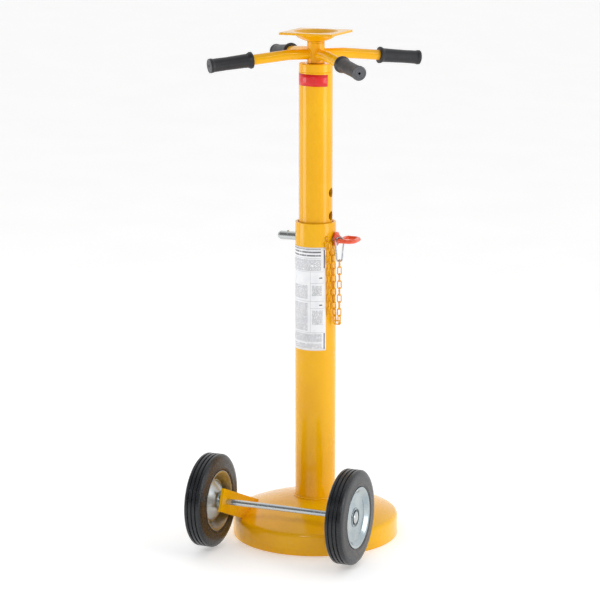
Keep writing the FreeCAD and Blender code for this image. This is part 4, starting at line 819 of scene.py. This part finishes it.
def hang(name, ends, leans, material, link):
    """Hang links between neighbouring ends and return one object with the links in order."""
    middles = [(ends[number] + ends[number + 1]) / 2 for number in range(len(ends) - 1)]
    mesh = line_mesh(name, middles, False)
    turns = mesh.attributes.new("turn", "FLOAT_VECTOR", "POINT")
    for number, middle in enumerate(middles):
        run = (ends[number + 1] - ends[number]).normalized()
        out = Vector((-middle.y, middle.x, 0.0))
        out = (out - run * out.dot(run)).normalized()
        side = out.cross(run)
        turn = Matrix((run, side, out)).transposed() @ Matrix.Rotation(leans[number], 3, "X")
        turns.data[number].vector = turn.to_euler("XYZ")
    return grown(name, build_chain_tree(material, link), mesh, {"Link scale": 1.0})


def evenly(route, count):
    """Points along a smooth line through the route's points, count gaps apart evenly."""
    spline = []
    for index in range(len(route) - 1):
        before = route[index - 1] if index else route[0] * 2 - route[1]
        after = route[index + 2] if index + 2 < len(route) else route[-1] * 2 - route[-2]
        a, b = route[index], route[index + 1]
        for step in range(40):
            share = step / 40
            spline.append(0.5 * (2 * a + (b - before) * share
                                 + (2 * before - 5 * a + 4 * b - after) * share ** 2
                                 + (3 * a - before - 3 * b + after) * share ** 3))
    spline.append(route[-1])
    lengths = [0.0]
    for index in range(1, len(spline)):
        lengths.append(lengths[-1] + (spline[index] - spline[index - 1]).length)
    points, index = [], 1
    for number in range(count + 1):
        wanted = lengths[-1] * number / count
        while index < len(spline) - 1 and lengths[index] < wanted:
            index += 1
        share = (wanted - lengths[index - 1]) / (lengths[index] - lengths[index - 1])
        points.append(spline[index - 1].lerp(spline[index], share))
    return points


def off_column(turn, stand_off, height):
    """A point a little off the lower column, in a direction round it, in degrees."""
    angle = math.radians(turn)
    reach = column_radius + stand_off
    return Vector((reach * math.cos(angle), reach * math.sin(angle), height))


def leans_of(count, fold):
    """Leans of the links: 45 degrees either way, eased to flat and upright round the fold."""
    leans = []
    for number in range(count):
        lean = math.pi / 4 if (count + 1 - number) % 2 else -math.pi / 4
        fold_lean = math.pi / 4 if (count + 1 - fold) % 2 else -math.pi / 4
        away = max(abs(number - fold) - 1, 0)
        leans.append(lean - fold_lean * max(1.0 - away / 4, 0.0))
    return leans


def share_blend(piece, share):
    """Bake a link's placement into its mesh; the share is clamped but not used."""
    share = min(max(share, 0.0005), 0.9995)
    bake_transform(piece)


link_points, link_faces = [], []
rod_mesh(stadium(), link_wire, 8, True, link_points, link_faces)
link_blank = new_piece("link_blank", link_points, link_faces, coat)
anchor_turn, anchor_height, chain_gap, chain_low = -35.0, 0.671, 0.0056, 0.4855
hook_low_corner, hook_high_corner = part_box("hook_body")
hook_foot = Vector(((hook_low_corner.x + hook_high_corner.x) / 2,
                    (hook_low_corner.y + hook_high_corner.y) / 2, hook_low_corner.z + 0.002))
chain_start = anchor_height - 0.0092
up_start = Vector((hook_foot.x - 0.0006, hook_foot.y + 0.0004, chain_low))
down = evenly([off_column(anchor_turn + 6, chain_gap + 0.002, chain_start),
               off_column(anchor_turn + 15, chain_gap, 0.640), off_column(anchor_turn + 19, chain_gap, 0.580),
               off_column(anchor_turn + 20, chain_gap, 0.530),
               off_column(anchor_turn + 20, chain_gap + 0.003, chain_low)], 12)
up = evenly([up_start, Vector((hook_foot.x, hook_foot.y, 0.560)), hook_foot + Vector((0.0, 0.0, 0.0019))], 9)
tail = evenly([off_column(anchor_turn - 3, chain_gap + 0.002, chain_start),
               off_column(anchor_turn + 1, chain_gap, 0.630), off_column(anchor_turn + 3, chain_gap, 0.570),
               off_column(anchor_turn + 5, chain_gap, 0.503)], 11)
run_ends = down + up
run = hang("tether_run", run_ends, leans_of(len(run_ends) - 1, len(down) - 1), coat, link_blank)
spare = hang("tether_tail", tail, leans_of(len(tail) - 1, -6), coat, link_blank)
bpy.data.objects.remove(link_blank)
link_size = len(link_points)


def split_links(chain):
    """Take a hung chain apart into one object for each link."""
    total = len(chain.data.vertices) // link_size
    coordinates = [vertex.co.copy() for vertex in chain.data.vertices]
    links = []
    for number in range(total):
        own = coordinates[number * link_size:(number + 1) * link_size]
        links.append(new_piece("%s_link_%02d" % (chain.name, number + 1), own, link_faces, coat))
    bpy.data.objects.remove(chain)
    return links


run_links = split_links(run)
HOOKED = 5
free_links = len(run_links) - HOOKED
for number, link in enumerate(run_links):
    if number < free_links:
        share_blend(link, number / free_links)
    else:
        share_blend(link, (number + 1 - free_links) / HOOKED)
finished(spare, "yellow_chain", "stand_base", "tether_chain")


# ---- Wheel brackets and axle --------------------------------------------------------------------
# Two flat steel bars, sawn to length and welded to the foot, carry a plain zinc-plated axle rod with
# washers inside the wheels and domed push-on caps outside them.

def eased(name, source, material, width):
    """A copy of a frame node whose sawn edges are eased."""
    mesh = nodes[source].data.copy()
    mesh.name = name
    shape = bmesh.new()
    shape.from_mesh(mesh)
    bmesh.ops.remove_doubles(shape, verts=shape.verts, dist=1e-6)
    bmesh.ops.dissolve_limit(shape, angle_limit=math.radians(2), verts=shape.verts, edges=shape.edges)
    shape.to_mesh(mesh)
    shape.free()
    mesh.materials.clear()
    mesh.materials.append(material)
    mesh.polygons.foreach_set("use_smooth", [True] * len(mesh.polygons))
    mesh.set_sharp_from_angle(angle=math.radians(30))
    piece = bpy.data.objects.new(name, mesh)
    bpy.context.scene.collection.objects.link(piece)
    edge = piece.modifiers.new("eased_edges", "BEVEL")
    edge.width, edge.segments, edge.limit_method = width, 3, "ANGLE"
    edge.angle_limit = math.radians(40)
    edge.harden_normals = False
    return piece


for word in ("left", "right"):
    bar_piece = eased("axle_bar_" + word, "wheel_bracket_" + word, coat, 0.0007)
    finished(bar_piece, "yellow_powder_coat", "stand_base", "wheel_bracket_" + word)
axle_zinc = zinc_plate("axle_zinc", colour(186, 196, 202), colour(208, 208, 202))
dress(axle_zinc, "axle_rod", "axle_washers", "axle_cap_left", "axle_cap_right")


# ---- Wheels -------------------------------------------------------------------------------------
# Solid rubber tyres with three tread grooves, each between two pressed zinc rim halves that are
# flared to a rolled lip. A tube through the middle holds two sealed bearings.

tyre_rubber = moulded_rubber("black_tyre_rubber", colour(22, 24, 28), colour(33, 37, 42), 700.0, 0.04,
                             smooth=0.24, dull=0.34)
rim_zinc = zinc_plate("rim_zinc", colour(158, 174, 182), colour(186, 194, 196))
satin_zinc = zinc_plate("rim_back_zinc", colour(176, 184, 188), colour(196, 199, 198), brushed=0.12)
tyre_low, tyre_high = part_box("tyre_right")
axle_y, axle_z = (tyre_low.y + tyre_high.y) / 2, (tyre_low.z + tyre_high.z) / 2
tyre_radius, tyre_half = (tyre_high.z - tyre_low.z) / 2 - 0.0001, (tyre_high.x - tyre_low.x) / 2
wheel_x = (tyre_low.x + tyre_high.x) / 2
lip_radius, lip_reach = 0.0648, 0.0203
groove_pitch, groove_half, groove_depth = 0.0088, 0.0014, 0.0032
ridge = 0.0003


def tyre_outline():
    """Half of the tyre's section from the seat over the side to the middle groove, then mirrored."""
    half = [
        (0.0498, 0.0066, 0.0), (lip_radius - 0.0024, lip_reach - 0.0029, 0.0),
        (lip_radius + 0.0015, lip_reach - 0.0018, 0.001), (lip_radius + 0.0044, tyre_half - 0.0004, 0.0016),
        (0.0722, tyre_half - 0.0004, 0.0002), (0.0726, tyre_half, 0.0002), (0.0738, tyre_half, 0.0002),
        (0.0742, tyre_half - ridge, 0.0002), (0.0905, tyre_half - 0.0006, 0.03),
        (tyre_radius - 0.0036, tyre_half - 0.0022, 0.004), (tyre_radius, tyre_half - 0.0054, 0.0022)]
    for number in (1, 0):
        middle = groove_pitch * number
        half += [(tyre_radius, middle + groove_half + 0.0004, 0.0004),
                 (tyre_radius - groove_depth, middle + groove_half - 0.0002, 0.0006)]
        if number:
            half += [(tyre_radius - groove_depth, middle - groove_half + 0.0002, 0.0006),
                     (tyre_radius, middle - groove_half - 0.0004, 0.0004)]
    return half + [(radius, -height, ease) for radius, height, ease in reversed(half)]


def tread_flash(angle, radius, height):
    """Fine cross lines that the mould leaves on the tread."""
    return 0.00006 * math.sin(angle * 90) if radius > tyre_radius - 0.0005 else 0.0


rim_sheet, boss_radius = 0.0016, 0.023
face_radius, face_reach = 0.054, 0.0126
cone_foot_radius, cone_foot_reach, cone_top_reach = 0.047, 0.0062, 0.023


def rim_half(disc_radius, disc_reach, boss_reach):
    """Section of a pressed rim half: hub boss, disc or cone, flared wall and rolled lip."""
    return rounded([
        (0.0214, boss_reach - rim_sheet, 0.0), (boss_radius, boss_reach - rim_sheet, 0.0),
        (disc_radius, disc_reach - rim_sheet, 0.0015),
        (lip_radius - 0.0031, lip_reach - 0.0026, 0.002), (lip_radius, lip_reach - 0.0018, 0.0008),
        (lip_radius + 0.0009, lip_reach - 0.0006, 0.0004), (lip_radius + 0.0009, lip_reach + 0.0001, 0.0003),
        (lip_radius - 0.0004, lip_reach + 0.0003, 0.0004), (lip_radius - 0.0042, lip_reach - 0.0010, 0.002),
        (disc_radius - 0.0016, disc_reach, 0.0025), (boss_radius, boss_reach, 0.0012),
        (0.0214, boss_reach, 0.0)], steps=7)


hub_outline = rounded([
    (0.0193, -0.0285, 0.0003), (0.0213, -0.0285, 0.0005), (0.0213, 0.0140, 0.0006), (0.0193, 0.0140, 0.0003)],
    steps=3)


def bearing_faces(material_name):
    """Ground steel rings with a black seal sunk between them, told apart by their radius."""
    material, tree, shader, where = new_finish(material_name)
    split = tree.nodes.new("ShaderNodeSeparateXYZ")
    tree.links.new(where, split.inputs[0])
    back = node(tree, "Math", {0: split.outputs["Y"], 1: axle_y}, operation="SUBTRACT")
    up_part = node(tree, "Math", {0: split.outputs["Z"], 1: axle_z}, operation="SUBTRACT")
    flat = node(tree, "CombineXYZ", {"X": back, "Y": up_part})
    radius = tree.nodes.new("ShaderNodeVectorMath")
    radius.operation = "LENGTH"
    tree.links.new(flat, radius.inputs[0])
    seal = between(tree, radius.outputs["Value"], 0.0103, 0.0161)
    steel = ramp(tree, noise(tree, where, 300.0, 3.0), (0.3, colour(150, 153, 156)),
                 (0.7, colour(190, 192, 194)))
    rubber = ramp(tree, noise(tree, where, 500.0, 3.0), (0.3, colour(24, 25, 28)), (0.7, colour(38, 39, 43)))
    tree.links.new(mixed(tree, seal, steel, rubber), shader.inputs["Base Color"])
    steered(tree, shader, "Metallic", seal, (0.0, 1.0), (1.0, 0.0))
    steered(tree, shader, "Roughness", seal, (0.0, 0.24), (1.0, 0.5))
    bumped(tree, shader, noise(tree, where, 800.0, 2.0), 0.00002)
    return material


bearing_steel = bearing_faces("sealed_bearing")
for word, side in (("left", -1), ("right", 1)):
    hub_place = Matrix.Translation((wheel_x * side, axle_y, axle_z))
    outwards = hub_place @ Matrix.Rotation(side * math.pi / 2, 4, "Y")
    inwards = hub_place @ Matrix.Rotation(-side * math.pi / 2, 4, "Y")
    body_name = "wheel_" + word
    tyre = turned("ribbed_tyre_" + word, rounded(tyre_outline(), steps=4), tyre_rubber, steps=360,
                  stand=outwards, uneven=tread_flash)
    finished(tyre, "tyre_rubber", body_name, "tyre_" + word)
    face_outline = rim_half(face_radius, face_reach, face_reach)
    outer = turned("rim_face_" + word, face_outline, rim_zinc, steps=144, stand=outwards)
    finished(outer, "zinc_plate", body_name, "rim_outer_" + word)
    back_outline = rim_half(cone_foot_radius, cone_foot_reach, cone_top_reach)
    inner = turned("rim_back_" + word, back_outline, satin_zinc, steps=144, stand=inwards)
    finished(inner, "zinc_plate", body_name, "rim_inner_" + word)
    tube = turned("bearing_tube_" + word, hub_outline, rim_zinc, steps=96, stand=outwards)
    finished(tube, "zinc_plate", body_name, "hub_tube_" + word)
    dress(bearing_steel, "wheel_bearings_" + word)


# ---- Studio -------------------------------------------------------------------------------------
# A plain pale floor that runs on to the horizon, soft light from both sides and above, and the
# camera a little above the stand's head, looking down at it.

def pale_floor():
    material, tree, shader, where = new_finish("pale_studio_floor", Roughness=0.9)
    steered(tree, shader, "Base Color", noise(tree, where, 3.0, 3.0), (0.3, colour(246, 246, 246)),
            (0.7, colour(250, 250, 250)))
    shader.inputs["Emission Color"].default_value = (1.0, 1.0, 1.0, 1.0)
    shader.inputs["Emission Strength"].default_value = 0.29
    return material


floor_half, floor_level = 30.0, -0.0005
floor_corners = [(floor_half * x, floor_half * y, floor_level)
                 for x, y in ((-1, -1), (1, -1), (1, 1), (-1, 1))]
floor = new_piece("studio_floor", floor_corners, [(0, 1, 2, 3)], pale_floor())


def soft_light(name, place, aim, wide, tall, watts):
    lamp = bpy.data.lights.new(name, "AREA")
    lamp.shape, lamp.size, lamp.size_y, lamp.energy = "RECTANGLE", wide, tall, watts
    light = bpy.data.objects.new(name, lamp)
    light.location = place
    light.rotation_euler = (Vector(aim) - Vector(place)).to_track_quat("-Z", "Y").to_euler()
    bpy.context.scene.collection.objects.link(light)


middle_of_stand = (0.0, -0.05, 0.55)
soft_light("left_softbox", (-3.1, -1.7, 0.5), middle_of_stand, 1.5, 2.4, 42.0)
soft_light("right_softbox", (3.4, -0.1, 0.5), middle_of_stand, 1.5, 2.4, 37.0)
soft_light("right_strip", (3.0, -1.1, 2.9), (0.0, 0.0, 1.0), 1.4, 0.2, 16.0)
soft_light("front_strip", (0.3, -3.0, 2.0), (0.0, 0.0, 0.4), 1.0, 0.25, 18.0)


def pale_surroundings(behind, in_front):
    """White behind the stand, and much dimmer on the side it is seen from."""
    world = bpy.data.worlds.new("pale_studio")
    world.use_nodes = True
    tree = world.node_tree
    split = tree.nodes.new("ShaderNodeSeparateXYZ")
    tree.links.new(tree.nodes.new("ShaderNodeTexCoord").outputs["Generated"], split.inputs[0])
    level = node(tree, "MapRange", {
        "Value": split.outputs["Y"], "From Min": -0.5, "From Max": 0.25,
        "To Min": in_front, "To Max": behind})
    tree.nodes["Background"].inputs["Color"].default_value = (1.0, 1.0, 1.0, 1.0)
    tree.links.new(level, tree.nodes["Background"].inputs["Strength"])
    return world


bpy.context.scene.world = pale_surroundings(1.05, 0.2)
bpy.context.scene.view_settings.view_transform = "Standard"

camera = bpy.data.objects.new("camera", bpy.data.cameras.new("camera"))
camera.data.lens, camera.data.sensor_width = 139.1, 36.0
camera.location = (1.878, -4.598, 1.587)
look_down, look_round = math.radians(12.04), math.radians(22.61)
camera.rotation_euler = (math.radians(90.0) - look_down, 0.0, look_round)
bpy.context.scene.collection.objects.link(camera)
bpy.context.scene.camera = camera
